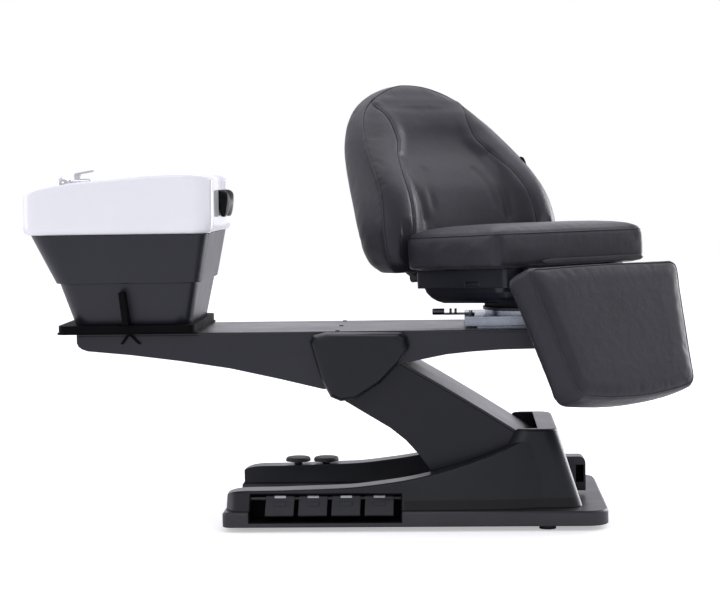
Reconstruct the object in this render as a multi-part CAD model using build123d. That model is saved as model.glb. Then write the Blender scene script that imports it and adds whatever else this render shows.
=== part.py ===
from build123d import *

# Hair washing bed. A reclining seat that swivels and a fixed wash basin share one
# beam, and a parallelogram arm lifts the beam from a U shaped floor base.
# Millimetres, +Z up. The origin is on the floor under the middle of the base,
# +X points from the basin to the seat, and the pedals are on the -Y side.

import os
from math import atan2, cos, degrees, hypot, radians, sin

# Driving dimensions of the whole bed

base_left = 512
base_right = 538
base_half_width = 320
floor_gap = 14
skirt_height = 40
gap_half_width = 193
gap_end = 450

main_pivot_x = 345
main_pivot_z = 140
arm_reach = 495
arm_rise = 285
link_drop_x = 27
link_drop_z = 50

beam_left = 922
beam_right = 470
beam_half_width = 191
beam_top = 536

swivel_x = 325
swivel_turn = 50
seat_tilt = 2.6
seat_half_width = 269
seat_front = 195
seat_rear = 195

basin_left = 1064
basin_right = 532
basin_half_width = 250
basin_bottom = 811

# Walls, gaps and the overrun of every cut

cover_wall = 4
bore_gap = 0.05
pin_gap = 0.02
soft_gap = 0.3
slide_gap = 0.3
overrun = 10

# Places that follow from the driving dimensions

skirt_top = floor_gap + skirt_height
arm_length = hypot(arm_reach, arm_rise)
arm_slope = degrees(atan2(arm_rise, arm_reach))
beam_pivot_x = main_pivot_x - arm_reach
beam_pivot_z = main_pivot_z + arm_rise


def block(x0, x1, y0, y1, z0, z1):
    """Box between two opposite corners."""
    body = Box(x1 - x0, y1 - y0, z1 - z0)
    return Pos((x0 + x1) / 2, (y0 + y1) / 2, (z0 + z1) / 2) * body


def rod(start, end, radius):
    """Round bar between two points."""
    axis = Vector(*end) - Vector(*start)
    foot = Plane(origin=start, z_dir=axis)
    return foot * Cylinder(radius, axis.length, align=(Align.CENTER, Align.CENTER, Align.MIN))


def ring(start, end, outer_radius, inner_radius):
    """Tube between two points."""
    return rod(start, end, outer_radius) - rod(start, end, inner_radius)


def rod_y(x, z, y0, y1, radius):
    """Round bar along Y."""
    return rod((x, y0, z), (x, y1, z), radius)


def spread(shares, x0, x_size, z0, z_size):
    """Points given as shares of a width and a height."""
    return [(x0 + x * x_size, z0 + z * z_size) for x, z in shares]


def flat(points):
    """Face inside a closed outline."""
    return make_face(Polyline(*points, close=True))


def plate(face, y0, y1):
    """Face drawn in X and Z, thickened along Y."""
    return Pos(0, y0, 0) * extrude(Plane.XZ * face, amount=y1 - y0, dir=(0, 1, 0))


def both_sides(shape):
    """A shape on the near side and its mirror image on the far side."""
    return shape + mirror(shape, Plane.XZ)


def rounded(x0, x1, half_width, radius, z):
    """Level rounded rectangle between two ends."""
    return Pos((x0 + x1) / 2, 0, z) * RectangleRounded(x1 - x0, 2 * half_width, radius)


def arm_point(along, above):
    """Place on the lift arm: distance from the beam pivot, and height over the arm's axis."""
    slope = radians(arm_slope)
    x = beam_pivot_x + along * cos(slope) + above * sin(slope)
    z = beam_pivot_z - along * sin(slope) + above * cos(slope)
    return x, z


# Chassis: two rails and a cross member of box section, with the pivot cheeks

rail_step = 7
rail_width = 32
rail_bottom = 16
rail_height = 30
rail_left_inset = 22
rail_right_inset = 38
tube_wall = 4
cross_half_length = 60
cross_inset = 20
end_cross_width = 40
foot_inset = 35
foot_step = 28
foot_side_inset = 30
foot_stud_radius = 6
cheek_inner = 85
cheek_thickness = 12
cheek_shares = [(0, 0), (1, 0), (0.92, 0.75), (0.75, 1), (0.25, 1), (0.06, 0.55)]
cheek_top_over_pivot = 45
main_shaft_radius = 15
link_pin_radius = 8
clevis_y = -25
clevis_step = 115
clevis_z = 62
clevis_length = 30
clevis_top = 80
eye_width = 24
ear_gap = 0.5
ear_thickness = 8
clevis_pin_radius = 8
rail_inner = gap_half_width + rail_step
rail_left = base_left - rail_left_inset
rail_right = base_right - rail_right_inset
rail_top = rail_bottom + rail_height
cross_left = main_pivot_x - cross_half_length
cross_right = main_pivot_x + cross_half_length
cross_half_width = base_half_width - cross_inset
clevis_x = main_pivot_x - clevis_step
clevis_base_left = clevis_x - clevis_length
foot_x_right = main_pivot_x + foot_step
foot_y_right = cross_half_width - foot_side_inset
foot_x_left = rail_left - foot_inset
foot_y_left = rail_inner + rail_width / 2
foot_places = [
    (foot_x_right, -foot_y_right),
    (foot_x_right, foot_y_right),
    (-foot_x_left, -foot_y_left),
    (-foot_x_left, foot_y_left),
]


def make_chassis():
    rail = block(-rail_left, rail_right, rail_inner, rail_inner + rail_width, rail_bottom, rail_top)
    frame = both_sides(rail)
    frame += block(cross_left, cross_right, -cross_half_width, cross_half_width, rail_bottom, rail_top)
    end_left = rail_right - end_cross_width
    frame += block(end_left, rail_right, -rail_inner, rail_inner, rail_bottom, rail_top)
    low = rail_bottom + tube_wall
    high = rail_top - tube_wall
    hollow = block(
        -rail_left - overrun, rail_right - tube_wall,
        rail_inner + tube_wall, rail_inner + rail_width - tube_wall, low, high,
    )
    frame -= both_sides(hollow)
    frame -= block(
        cross_left + tube_wall, cross_right - tube_wall,
        -cross_half_width - overrun, cross_half_width + overrun, low, high,
    )
    cheek_outline = spread(
        cheek_shares, cross_left, cross_right - cross_left,
        rail_top, main_pivot_z + cheek_top_over_pivot - rail_top,
    )
    cheek = plate(flat(cheek_outline), cheek_inner, cheek_inner + cheek_thickness)
    frame += both_sides(cheek)
    ear_inner = eye_width / 2 + ear_gap
    ear_outer = ear_inner + ear_thickness
    frame += block(
        clevis_base_left, cross_left + tube_wall, clevis_y - ear_outer, clevis_y + ear_outer,
        rail_bottom, rail_top,
    )
    for side in (-1, 1):
        ear_low, ear_high = sorted((clevis_y + side * ear_inner, clevis_y + side * ear_outer))
        frame += block(
            clevis_x - clevis_length / 2, clevis_x + clevis_length / 2, ear_low, ear_high,
            rail_top, clevis_top,
        )
    frame += rod_y(clevis_x, clevis_z, clevis_y - ear_outer, clevis_y + ear_outer, clevis_pin_radius)
    cheek_outer = cheek_inner + cheek_thickness
    shaft_hole = main_shaft_radius + pin_gap
    frame -= rod_y(main_pivot_x, main_pivot_z, -cheek_outer - overrun, cheek_outer + overrun, shaft_hole)
    link_x = main_pivot_x - link_drop_x
    link_z = main_pivot_z - link_drop_z
    link_hole = link_pin_radius + pin_gap
    frame -= rod_y(link_x, link_z, -cheek_outer - overrun, cheek_outer + overrun, link_hole)
    for x, y in foot_places:
        frame -= rod((x, y, rail_bottom - overrun), (x, y, rail_top + overrun), foot_stud_radius + pin_gap)
    return frame


# Levelling feet

foot_pad_radius = 23
foot_pad_height = 12
foot_stud_top = 42
foot_edge = 3


def make_foot(x, y):
    pad = rod((x, y, 0), (x, y, foot_pad_height), foot_pad_radius)
    pad = fillet(pad.edges().sort_by(Axis.Z)[-1], foot_edge)
    nut = rod((x, y, foot_pad_height), (x, y, rail_bottom), 2 * foot_stud_radius)
    stud = rod((x, y, rail_bottom), (x, y, foot_stud_top), foot_stud_radius)
    return pad + nut + stud


# Skirt: the low U shaped flange round the chassis

skirt_corner_right = 60
skirt_corner_left = 26
skirt_edge = 5
bay_inset = 76
bay_length = 412
bay_reach = 82
bay_floor = 28
bay_top = 95
liner_wall = 3
notch_gap = 3
boss_inset = 30
boss_pitch = 300
boss_count = 4
boss_radius = 8
bay_left = base_left - bay_inset
bay_right = bay_left - bay_length
bay_depth = base_half_width - bay_reach
boss_first = boss_inset - rail_left


def skirt_block(inset, top):
    """The U's full height, drawn in by an inset."""
    body = block(
        -base_left + inset, base_right - inset, -base_half_width + inset, base_half_width - inset,
        floor_gap, top,
    )
    uprights = body.edges().filter_by(Axis.Z)
    body = fillet(uprights.group_by(Axis.X)[-1], skirt_corner_right - inset)
    uprights = body.edges().filter_by(Axis.Z)
    body = fillet(uprights.group_by(Axis.X)[0], skirt_corner_left - inset)
    gap = block(
        -base_left - overrun, gap_end + inset, -gap_half_width - inset, gap_half_width + inset,
        floor_gap - overrun, top + overrun,
    )
    return body - gap


def bay_space(widen, depth):
    """Room of the four pedals, open towards the near side."""
    return block(
        -bay_left - widen, -bay_right + widen, -base_half_width - overrun, -depth + widen,
        bay_floor - widen, bay_top + widen,
    )


def make_skirt():
    """Flange with screw bosses that stand on the rails."""
    outer = skirt_block(0, skirt_top)
    outer = chamfer(outer.edges().group_by(Axis.Z)[-1], skirt_edge)
    inner = skirt_block(cover_wall, skirt_top - cover_wall)
    skirt = outer - inner
    for left, right in ((cross_left, cross_right), (clevis_base_left, cross_left)):
        skirt -= block(
            left - notch_gap, right + notch_gap,
            -gap_half_width - cover_wall - overrun, gap_half_width + cover_wall + overrun,
            floor_gap - overrun, rail_top + notch_gap,
        )
    for index in range(boss_count):
        x = boss_first + index * boss_pitch
        y = rail_inner + rail_width / 2
        skirt += both_sides(rod((x, y, rail_top), (x, y, skirt_top - cover_wall / 2), boss_radius))
    return skirt - bay_space(liner_wall, bay_depth)


# Base cover: two low arms that swell up into the hump round the pivot

arm_station_shares = [0, 0.02, 0.06, 0.18, 0.33, 0.45, 0.56, 0.67, 0.78, 0.89, 0.96]
arm_top_shares = [0.355, 0.385, 0.4, 0.405, 0.42, 0.455, 0.51, 0.6, 0.72, 0.88, 0.97]
arm_top_width_shares = [0.72, 0.775, 0.805, 0.81, 0.81, 0.805, 0.8, 0.78, 0.74, 0.67, 0.63]
arm_foot_width_shares = [0.8, 0.89, 0.935, 0.94, 0.94, 0.94, 0.94, 0.93, 0.92, 0.88, 0.835]
arm_edge = 12
arm_nose_inset = 7
hump_top = 261
hump_left_step = 145
hump_right_step = 125
hump_crest_left_step = 55
hump_crest_right_step = 60
hump_half_share = 0.8375
hump_crest_wall = 22
hump_corner = 40
hump_edge = 10
slot_side_step = 12
slot_end_step = 7
arms_left = base_left - arm_nose_inset
slot_half_width = gap_half_width - slot_side_step
slot_end = main_pivot_x + slot_end_step
hump_left = main_pivot_x - hump_left_step
hump_right = main_pivot_x + hump_right_step
hump_crest_left = main_pivot_x - hump_crest_left_step
hump_crest_right = main_pivot_x + hump_crest_right_step
hump_half_width = hump_half_share * base_half_width
hump_crest_half_width = slot_half_width + hump_crest_wall


def arm_section(x, top, top_half_width, foot_half_width, inset):
    """Upright section of one base arm: inner face, top and sloping outer face."""
    draft = (gap_half_width - slot_half_width) * (top - skirt_top) / (hump_top - skirt_top)
    inner = gap_half_width + inset
    corners = [
        (x, inner, skirt_top),
        (x, inner - draft, top - inset),
        (x, top_half_width - inset, top - inset),
        (x, foot_half_width - inset, skirt_top),
    ]
    return make_face(Polyline(*corners, close=True))


def base_arm(inset):
    """One of the two arms, from its nose to the hump."""
    sections = []
    length = arms_left + hump_crest_right
    rows = zip(arm_station_shares, arm_top_shares, arm_top_width_shares, arm_foot_width_shares)
    for along, top, top_width, foot_width in rows:
        x = -arms_left + inset + along * length
        sections.append(
            arm_section(x, top * hump_top, top_width * base_half_width, foot_width * base_half_width, inset)
        )
    return loft(sections)


def soft_base_arm():
    """Base arm with its long outer top edge rounded."""
    arm = base_arm(0)
    upper = arm.edges().sort_by(SortBy.LENGTH)[-4:].sort_by(Axis.Z)[-2:]
    return fillet(upper.sort_by(Axis.Y)[-1], arm_edge)


def soft_hump():
    """Hump with the edges of its crest rounded."""
    body = hump(0)
    return fillet(body.edges().group_by(Axis.Z)[-1], hump_edge)


def hump(inset):
    """Rounded block with sloping faces that closes the two arms at the right."""
    low = rounded(hump_left + inset, hump_right - inset, hump_half_width - inset, hump_corner, skirt_top)
    high = rounded(
        hump_crest_left + inset, hump_crest_right - inset, hump_crest_half_width - inset,
        hump_corner, hump_top - inset,
    )
    return loft([low, high], ruled=True)


def slot_space(widen, end):
    """Passage of the lift arm through the hump, open to the left, the top and below."""
    low = block(
        -base_left - overrun, end, -slot_half_width + widen, slot_half_width - widen,
        skirt_top - overrun, hump_top + overrun,
    )
    return low


def make_base_cover():
    outer = both_sides(soft_base_arm()) + soft_hump()
    outer -= slot_space(0, slot_end)
    inner = both_sides(base_arm(cover_wall)) + hump(cover_wall)
    inner -= block(
        -base_left - overrun, slot_end + cover_wall, -slot_half_width - cover_wall,
        slot_half_width + cover_wall, skirt_top - overrun, hump_top + overrun,
    )
    cover = outer - inner
    under_deck = block(
        hump_left, gap_end, -slot_half_width, slot_half_width,
        skirt_top - overrun, hump_top - cover_wall,
    )
    cover -= under_deck & hump(cover_wall)
    cover -= bay_space(liner_wall, bay_depth)
    for x in button_places:
        cover -= rod((x, button_y, skirt_top), (x, button_y, hump_top), button_stem_radius + bore_gap)
    return cover


# Foot buttons on the far arm

button_inset = 166
button_pitch = 84
button_side_inset = 95
button_radius = 37
button_height = 12
button_lift = 5
button_stem_radius = 12
button_stem_length = 30
button_travel = 4
button_edge_share = 0.6
button_share_index = 4
button_first = base_left - button_inset
button_y = base_half_width - button_side_inset
button_places = [-button_first, -button_first + button_pitch]
button_base = arm_top_shares[button_share_index] * hump_top + button_lift


def make_button(x):
    cap = rod((x, button_y, button_base), (x, button_y, button_base + button_height), button_radius)
    cap = fillet(cap.edges().sort_by(Axis.Z)[-1], button_edge_share * button_height)
    stem = rod((x, button_y, button_base - button_stem_length), (x, button_y, button_base), button_stem_radius)
    return cap + stem


# Pedals in their bay

pedal_count = 4
pedal_gap = 42
pedal_pitch = 90.5
pedal_width = 78
pedal_hinge_inset = 56
pedal_hinge_z = 84
pedal_shaft_radius = 5
pedal_hub_radius = 8
pedal_outer_inset = 8
pedal_bottom = 44
pedal_thickness = 9
pedal_edge = 4
pedal_strip = 33
pedal_strip_rise = 1.5
pedal_strip_depth = 16
pedal_first = bay_left - pedal_gap
pedal_hinge_y = base_half_width - pedal_hinge_inset
pedal_outer_y = base_half_width - pedal_outer_inset


def make_bay_liner():
    room = bay_space(0, bay_depth)
    shell = bay_space(liner_wall, bay_depth)
    liner = shell - room
    outer = skirt_block(0, skirt_top) + base_arm_near()
    liner = liner & outer
    shaft_hole = pedal_shaft_radius + pin_gap
    return liner - rod(
        (-bay_left - liner_wall - overrun, -pedal_hinge_y, pedal_hinge_z),
        (-bay_right + liner_wall + overrun, -pedal_hinge_y, pedal_hinge_z), shaft_hole,
    )


def base_arm_near():
    return mirror(soft_base_arm(), Plane.XZ)


def make_pedal_shaft():
    return rod(
        (-bay_left - liner_wall, -pedal_hinge_y, pedal_hinge_z),
        (-bay_right + liner_wall, -pedal_hinge_y, pedal_hinge_z), pedal_shaft_radius,
    )


def make_pedal(left):
    """Sloping tread that hangs from its hub and carries a plain strip along its upper edge."""
    right = left + pedal_width
    run = pedal_outer_y - pedal_hinge_y
    drop = pedal_hinge_z - pedal_bottom
    slope = Vector(0, -run, -drop).normalized()
    normal = Vector(0, -slope.Z, slope.Y)
    if normal.Z < 0:
        normal = -normal
    start = Vector(left, -pedal_hinge_y, pedal_hinge_z)
    plane = Plane(origin=start, x_dir=(1, 0, 0), z_dir=normal)
    reach = hypot(run, drop)
    direction = 1 if plane.y_dir.dot(slope) > 0 else -1
    tread = plane * Pos(pedal_width / 2, direction * reach / 2, 0) * Box(pedal_width, reach, pedal_thickness)
    tread = fillet(tread.edges().filter_by(Axis.X), pedal_edge)
    strip = plane * Pos(
        pedal_width / 2, direction * (pedal_hub_radius + pedal_strip_depth), pedal_thickness / 2,
    ) * Box(pedal_strip, pedal_strip_depth, 2 * pedal_strip_rise)
    hub = rod((left, -pedal_hinge_y, pedal_hinge_z), (right, -pedal_hinge_y, pedal_hinge_z), pedal_hub_radius)
    bore = rod(
        (left - overrun, -pedal_hinge_y, pedal_hinge_z), (right + overrun, -pedal_hinge_y, pedal_hinge_z),
        pedal_shaft_radius + bore_gap,
    )
    return tread + strip + hub - bore


# Power inlet on the hump's right face, and the control box inside the hump's near arm

inlet_sink = 40
inlet_reach = 20
inlet_y = -40
inlet_half_width = 30
inlet_bottom = 69
inlet_top = 165
inlet_round = 18
socket_edge = 6
socket_width = 22
socket_height = 48
socket_depth = 22
socket_wall = 2
blade_width = 5
blade_thickness = 2
blade_length = 16
inlet_left = hump_right - inlet_sink
inlet_right = hump_right + inlet_reach
socket_x = inlet_right - socket_edge - socket_width / 2
socket_z = (inlet_bottom + inlet_top) / 2
box_left = 20
box_right = 150
box_step = 11
box_width = 40
box_height = 40
box_inner = gap_half_width + box_step
box_outer = box_inner + box_width


def inlet_hollow(widen):
    """Recess of the socket in the housing's near face."""
    face_y = inlet_y - inlet_half_width
    return block(
        socket_x - socket_width / 2 + widen, socket_x + socket_width / 2 - widen,
        face_y - overrun, face_y + socket_depth,
        socket_z - socket_height / 2 + widen, socket_z + socket_height / 2 - widen,
    )


def make_inlet_housing():
    body = block(
        inlet_left, inlet_right, inlet_y - inlet_half_width, inlet_y + inlet_half_width,
        inlet_bottom, inlet_top,
    )
    upper = body.faces().sort_by(Axis.Z)[-1].edges()
    body = fillet(upper.sort_by(Axis.X)[-1], inlet_round)
    return body - hump(0) - inlet_hollow(0)


def make_inlet_socket():
    """Lining of the recess with three contact blades."""
    face_y = inlet_y - inlet_half_width
    room = inlet_hollow(0) & block(
        hump_crest_left, inlet_right, face_y, face_y + socket_depth, inlet_bottom, inlet_top,
    )
    lining = room - Pos(0, -socket_wall, 0) * inlet_hollow(socket_wall)
    back_y = face_y + socket_depth - socket_wall
    for x_step, z_step in ((0, 1), (-1, -1), (1, -1)):
        x = socket_x + x_step * blade_width
        z = socket_z + z_step * 2 * blade_width
        lining += block(
            x - blade_thickness / 2, x + blade_thickness / 2, back_y - blade_length, back_y,
            z - blade_width / 2, z + blade_width / 2,
        )
    return lining


def make_control_box():
    """Sealed box on the skirt, inside the far arm."""
    body = block(box_left, box_right, box_inner, box_outer, skirt_top, skirt_top + box_height)
    return fillet(body.edges().filter_by(Axis.Z), cover_wall)


# Lift arm: two side plates on cross tubes, inside a moulded cover

arm_plate_gap = 7
arm_plate_thickness = 8
arm_plate_half_height = 30
arm_boss_main = 42
arm_boss_beam = 34
cross_tube_radius = 20
cross_tube_wall = 4
cross_tube_shares = [0.23, 0.37, 0.75]
beam_pin_radius = 12
bush_wall = 4
bush_flange = 11
flange_gap = 0.5
actuator_share = 0.37
actuator_drop = 45
actuator_pin_radius = 8
arm_side_gap = 6
arm_half_height = 86.5
arm_lid_thickness = 7
arm_lid_inset = 3
arm_top_outline_shares = [(0.125, 0.965), (0.4, 0.95), (0.62, 0.91), (0.837, 0.85), (0.983, 0.82)]
arm_round_outline_shares = [(1.06, 0.7), (1.12, 0.4), (1.13, -0.1), (1.08, -0.62), (1, -0.85)]
arm_under_outline_shares = [
    (0.605, -1.795), (0.536, -1.563), (0.462, -1.338), (0.38, -1.158),
    (0.286, -1.059), (0.034, -1.017), (-0.039, -0.989),
]
arm_mouth_shares = [(-0.2, -1.1), (-0.012, -1.1), (0.135, 0.82), (-0.2, 0.82)]
arm_floor_shares = [(0.6, -1), (0.6, -2.4), (1.3, -2.4), (1.3, 0.4), (1, 0.4)]
arm_plate_inner = cheek_inner + cheek_thickness + arm_plate_gap
arm_half_width = slot_half_width - arm_side_gap


def make_arm_frame():
    outer = arm_plate_inner + arm_plate_thickness
    bar = [
        arm_point(0, arm_plate_half_height), arm_point(arm_length, arm_plate_half_height),
        arm_point(arm_length, -arm_plate_half_height), arm_point(0, -arm_plate_half_height),
    ]
    side = plate(flat(bar), arm_plate_inner, outer)
    side += rod_y(main_pivot_x, main_pivot_z, arm_plate_inner, outer, arm_boss_main)
    side += rod_y(beam_pivot_x, beam_pivot_z, arm_plate_inner, outer, arm_boss_beam)
    frame = both_sides(side)
    tube_half = arm_half_width - cover_wall
    for share in cross_tube_shares:
        x, z = arm_point(share * arm_length, 0)
        frame += rod_y(x, z, -tube_half, tube_half, cross_tube_radius)
    eye_x, eye_z = arm_point(actuator_share * arm_length, -actuator_drop)
    tube_x, tube_z = arm_point(actuator_share * arm_length, 0)
    ear_inner = eye_width / 2 + ear_gap
    ear_outer = ear_inner + ear_thickness
    ear = [
        (tube_x - cross_tube_radius, tube_z), (tube_x + cross_tube_radius, tube_z),
        (eye_x + 2 * actuator_pin_radius, eye_z - 2 * actuator_pin_radius),
        (eye_x - 2 * actuator_pin_radius, eye_z - actuator_pin_radius),
    ]
    for side_sign in (-1, 1):
        low, high = sorted((clevis_y + side_sign * ear_inner, clevis_y + side_sign * ear_outer))
        frame += plate(flat(ear), low, high)
    for share in cross_tube_shares:
        x, z = arm_point(share * arm_length, 0)
        bore = cross_tube_radius - cross_tube_wall
        frame -= rod_y(x, z, -tube_half - overrun, tube_half + overrun, bore)
    frame += rod_y(eye_x, eye_z, clevis_y - ear_outer, clevis_y + ear_outer, actuator_pin_radius)
    bush_hole = main_shaft_radius + bush_wall + pin_gap
    frame -= rod_y(main_pivot_x, main_pivot_z, -outer - overrun, outer + overrun, bush_hole)
    pin_hole = beam_pin_radius + bore_gap
    frame -= rod_y(beam_pivot_x, beam_pivot_z, -outer - overrun, outer + overrun, pin_hole)
    return frame


def make_bush(side):
    """Flanged bush between a chassis cheek and a side plate of the arm."""
    flange_start = cheek_inner + cheek_thickness + flange_gap
    sleeve_end = arm_plate_inner + arm_plate_thickness
    flange = rod_y(
        main_pivot_x, main_pivot_z, side * flange_start, side * arm_plate_inner,
        main_shaft_radius + bush_flange,
    )
    sleeve = rod_y(
        main_pivot_x, main_pivot_z, side * arm_plate_inner, side * sleeve_end,
        main_shaft_radius + bush_wall,
    )
    bore = rod_y(
        main_pivot_x, main_pivot_z, 0, side * (sleeve_end + overrun), main_shaft_radius + bore_gap,
    )
    return flange + sleeve - bore


def make_main_shaft():
    half = arm_plate_inner + arm_plate_thickness
    return rod_y(main_pivot_x, main_pivot_z, -half, half, main_shaft_radius)


def make_link_base_pin():
    half = cheek_inner + cheek_thickness
    return rod_y(main_pivot_x - link_drop_x, main_pivot_z - link_drop_z, -half, half, link_pin_radius)


def arm_outline(top_shares, lower):
    """Outline of the arm cover, its top edge lowered to leave room for the lid."""
    points = []
    for along, above in top_shares:
        points.append(arm_point(along * arm_length, above * arm_half_height - lower))
    for along, above in arm_round_outline_shares + arm_under_outline_shares:
        points.append(arm_point(along * arm_length, above * arm_half_height))
    return points


def make_arm_cover():
    outline = flat(arm_outline(arm_top_outline_shares, arm_lid_thickness))
    inner_half = arm_half_width - cover_wall
    outer = plate(outline, -arm_half_width, arm_half_width)
    inner = plate(offset(outline, -cover_wall, kind=Kind.INTERSECTION), -inner_half, inner_half)
    cover = outer - inner
    for shares in (arm_mouth_shares, arm_floor_shares):
        opening = [arm_point(along * arm_length, above * arm_half_height) for along, above in shares]
        cover -= plate(flat(opening), -inner_half, inner_half)
    return cover


def rod_box(start, end, thickness, half_width):
    """Flat bar across the bed, along the line between two points."""
    run = end - start
    middle = (start + end) * 0.5
    plane = Plane(origin=middle, x_dir=run, z_dir=(0, 1, 0))
    return plane * Box(run.length, 2 * thickness, 2 * half_width)


def make_arm_lid():
    """Light strip on top of the arm, set in from the cover's sides."""
    upper = [arm_point(s * arm_length, h * arm_half_height) for s, h in arm_top_outline_shares]
    lower = [
        arm_point(s * arm_length, h * arm_half_height - arm_lid_thickness)
        for s, h in reversed(arm_top_outline_shares)
    ]
    half = arm_half_width - arm_lid_inset
    return plate(flat(upper + lower), -half, half)


# Parallel link and actuator

link_y = 45
link_width = 24
link_half_height = 12
link_boss = 15
eye_radius = 16
tube_start = 34
tube_end = 215
tube_radius = 22
motor_length = 60
motor_radius = 24
piston_radius = 10
piston_wall_gap = 0.3
piston_start = 94
eye_slack = 2.5


def make_parallel_link():
    low_x = main_pivot_x - link_drop_x
    low_z = main_pivot_z - link_drop_z
    high_x = beam_pivot_x - link_drop_x
    high_z = beam_pivot_z - link_drop_z
    slope = radians(arm_slope)
    rise_x = link_half_height * sin(slope)
    rise_z = link_half_height * cos(slope)
    bar = [
        (low_x + rise_x, low_z + rise_z), (high_x + rise_x, high_z + rise_z),
        (high_x - rise_x, high_z - rise_z), (low_x - rise_x, low_z - rise_z),
    ]
    link = plate(flat(bar), link_y, link_y + link_width)
    for x, z in ((low_x, low_z), (high_x, high_z)):
        link += rod_y(x, z, link_y, link_y + link_width, link_boss)
    for x, z in ((low_x, low_z), (high_x, high_z)):
        link -= rod_y(x, z, link_y - overrun, link_y + link_width + overrun, link_pin_radius + bore_gap)
    return link


def actuator_points():
    """Lower and upper pivot of the actuator, and the direction between them."""
    eye_x, eye_z = arm_point(actuator_share * arm_length, -actuator_drop)
    low = Vector(clevis_x, clevis_y, clevis_z)
    high = Vector(eye_x, clevis_y, eye_z)
    return low, high, (high - low).normalized()


def make_actuator_tube():
    low, high, way = actuator_points()
    half = eye_width / 2
    tube = rod_y(clevis_x, clevis_z, clevis_y - half, clevis_y + half, eye_radius)
    tube += rod(low, low + way * tube_start, piston_radius)
    tube += rod(low + way * tube_start, low + way * tube_end, tube_radius)
    tube += rod(low + way * tube_start, low + way * (tube_start + motor_length), motor_radius)
    tube -= rod_y(
        clevis_x, clevis_z, clevis_y - half - overrun, clevis_y + half + overrun,
        clevis_pin_radius + bore_gap,
    )
    bore_start = low + way * (tube_start + overrun)
    return tube - rod(bore_start, low + way * (tube_end + overrun), piston_radius + piston_wall_gap)


def make_actuator_rod():
    low, high, way = actuator_points()
    half = eye_width / 2
    piston = rod(low + way * piston_start, high, piston_radius)
    piston += rod_y(high.X, high.Z, clevis_y - half, clevis_y + half, eye_radius)
    return piston - rod_y(
        high.X, high.Z, clevis_y - half - overrun, clevis_y + half + overrun,
        actuator_pin_radius + eye_slack,
    )


# Beam: steel frame, moulded cover and lid

lid_thickness = 6
lid_groove_y = 140
lid_groove = 1.5
lid_edge = 2
plug_step = 47
plug_radius = 6
plug_height = 2
plug_y_share = 0.92
beam_depth = 154
beam_under_shares = [
    (0, 0.87), (0.003, 0.81), (0.01, 0.76), (0.022, 0.722), (0.106, 0.649),
    (0.206, 0.532), (0.306, 0.39), (0.406, 0.188),
    (0.491, 0), (0.555, 0), (0.598, 0.156), (0.634, 0.416), (0.685, 0.513),
    (0.736, 0.604), (0.786, 0.649), (0.846, 0.682), (1, 0.701),
]
well_left_step = 78
well_right_step = 355
frame_rail_inner = 120
frame_rail_width = 50
frame_rail_height = 30
frame_end_gap = 16
member_width = 40
member_shares = [0.255, 0.49, 0.845]
saddle_left_step = 80
saddle_right_step = 78
saddle_thickness = 6
beam_cheek_shares = [(0, 1), (1, 1), (0.76, 0.37), (0.45, 0), (0.21, 0), (0.14, 0.3)]
beam_cheek_below = 66
beam_cover_top = beam_top - lid_thickness
beam_length = beam_left + beam_right
plug_x = plug_step - beam_pivot_x
well_left = well_left_step - beam_pivot_x
well_right = well_right_step + beam_pivot_x
saddle_left = saddle_left_step - beam_pivot_x
saddle_right = -beam_pivot_x - saddle_right_step


def beam_outline():
    points = spread(beam_under_shares, -beam_left, beam_length, beam_cover_top - beam_depth, beam_depth)
    return [(-beam_left, beam_cover_top)] + points + [(beam_right, beam_cover_top)]


def make_beam_cover():
    outline = flat(beam_outline())
    inner_half = beam_half_width - cover_wall
    outer = plate(outline, -beam_half_width, beam_half_width)
    inner = plate(offset(outline, -cover_wall, kind=Kind.INTERSECTION), -inner_half, inner_half)
    open_top = block(
        -beam_left + cover_wall, beam_right - cover_wall, -inner_half, inner_half,
        beam_cover_top - 2 * cover_wall, beam_cover_top + overrun,
    )
    well = block(
        -well_left, well_right, -inner_half + cover_wall, inner_half - cover_wall,
        beam_cover_top - beam_depth - overrun, beam_cover_top - frame_rail_height,
    )
    return outer - inner - open_top - well


def make_beam_lid():
    lid = block(-beam_left, beam_right, -beam_half_width, beam_half_width, beam_cover_top, beam_top)
    lid = chamfer(lid.faces().sort_by(Axis.Z)[-1].edges(), lid_edge)
    for y in (-lid_groove_y, lid_groove_y):
        lid -= block(
            -beam_left - overrun, beam_right + overrun, y - lid_groove / 2, y + lid_groove / 2,
            beam_top - lid_groove, beam_top + overrun,
        )
    for share in (-plug_y_share, 0, plug_y_share):
        y = share * beam_half_width
        lid += rod((-plug_x, y, beam_cover_top), (-plug_x, y, beam_top + plug_height), plug_radius)
    return lid


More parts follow.
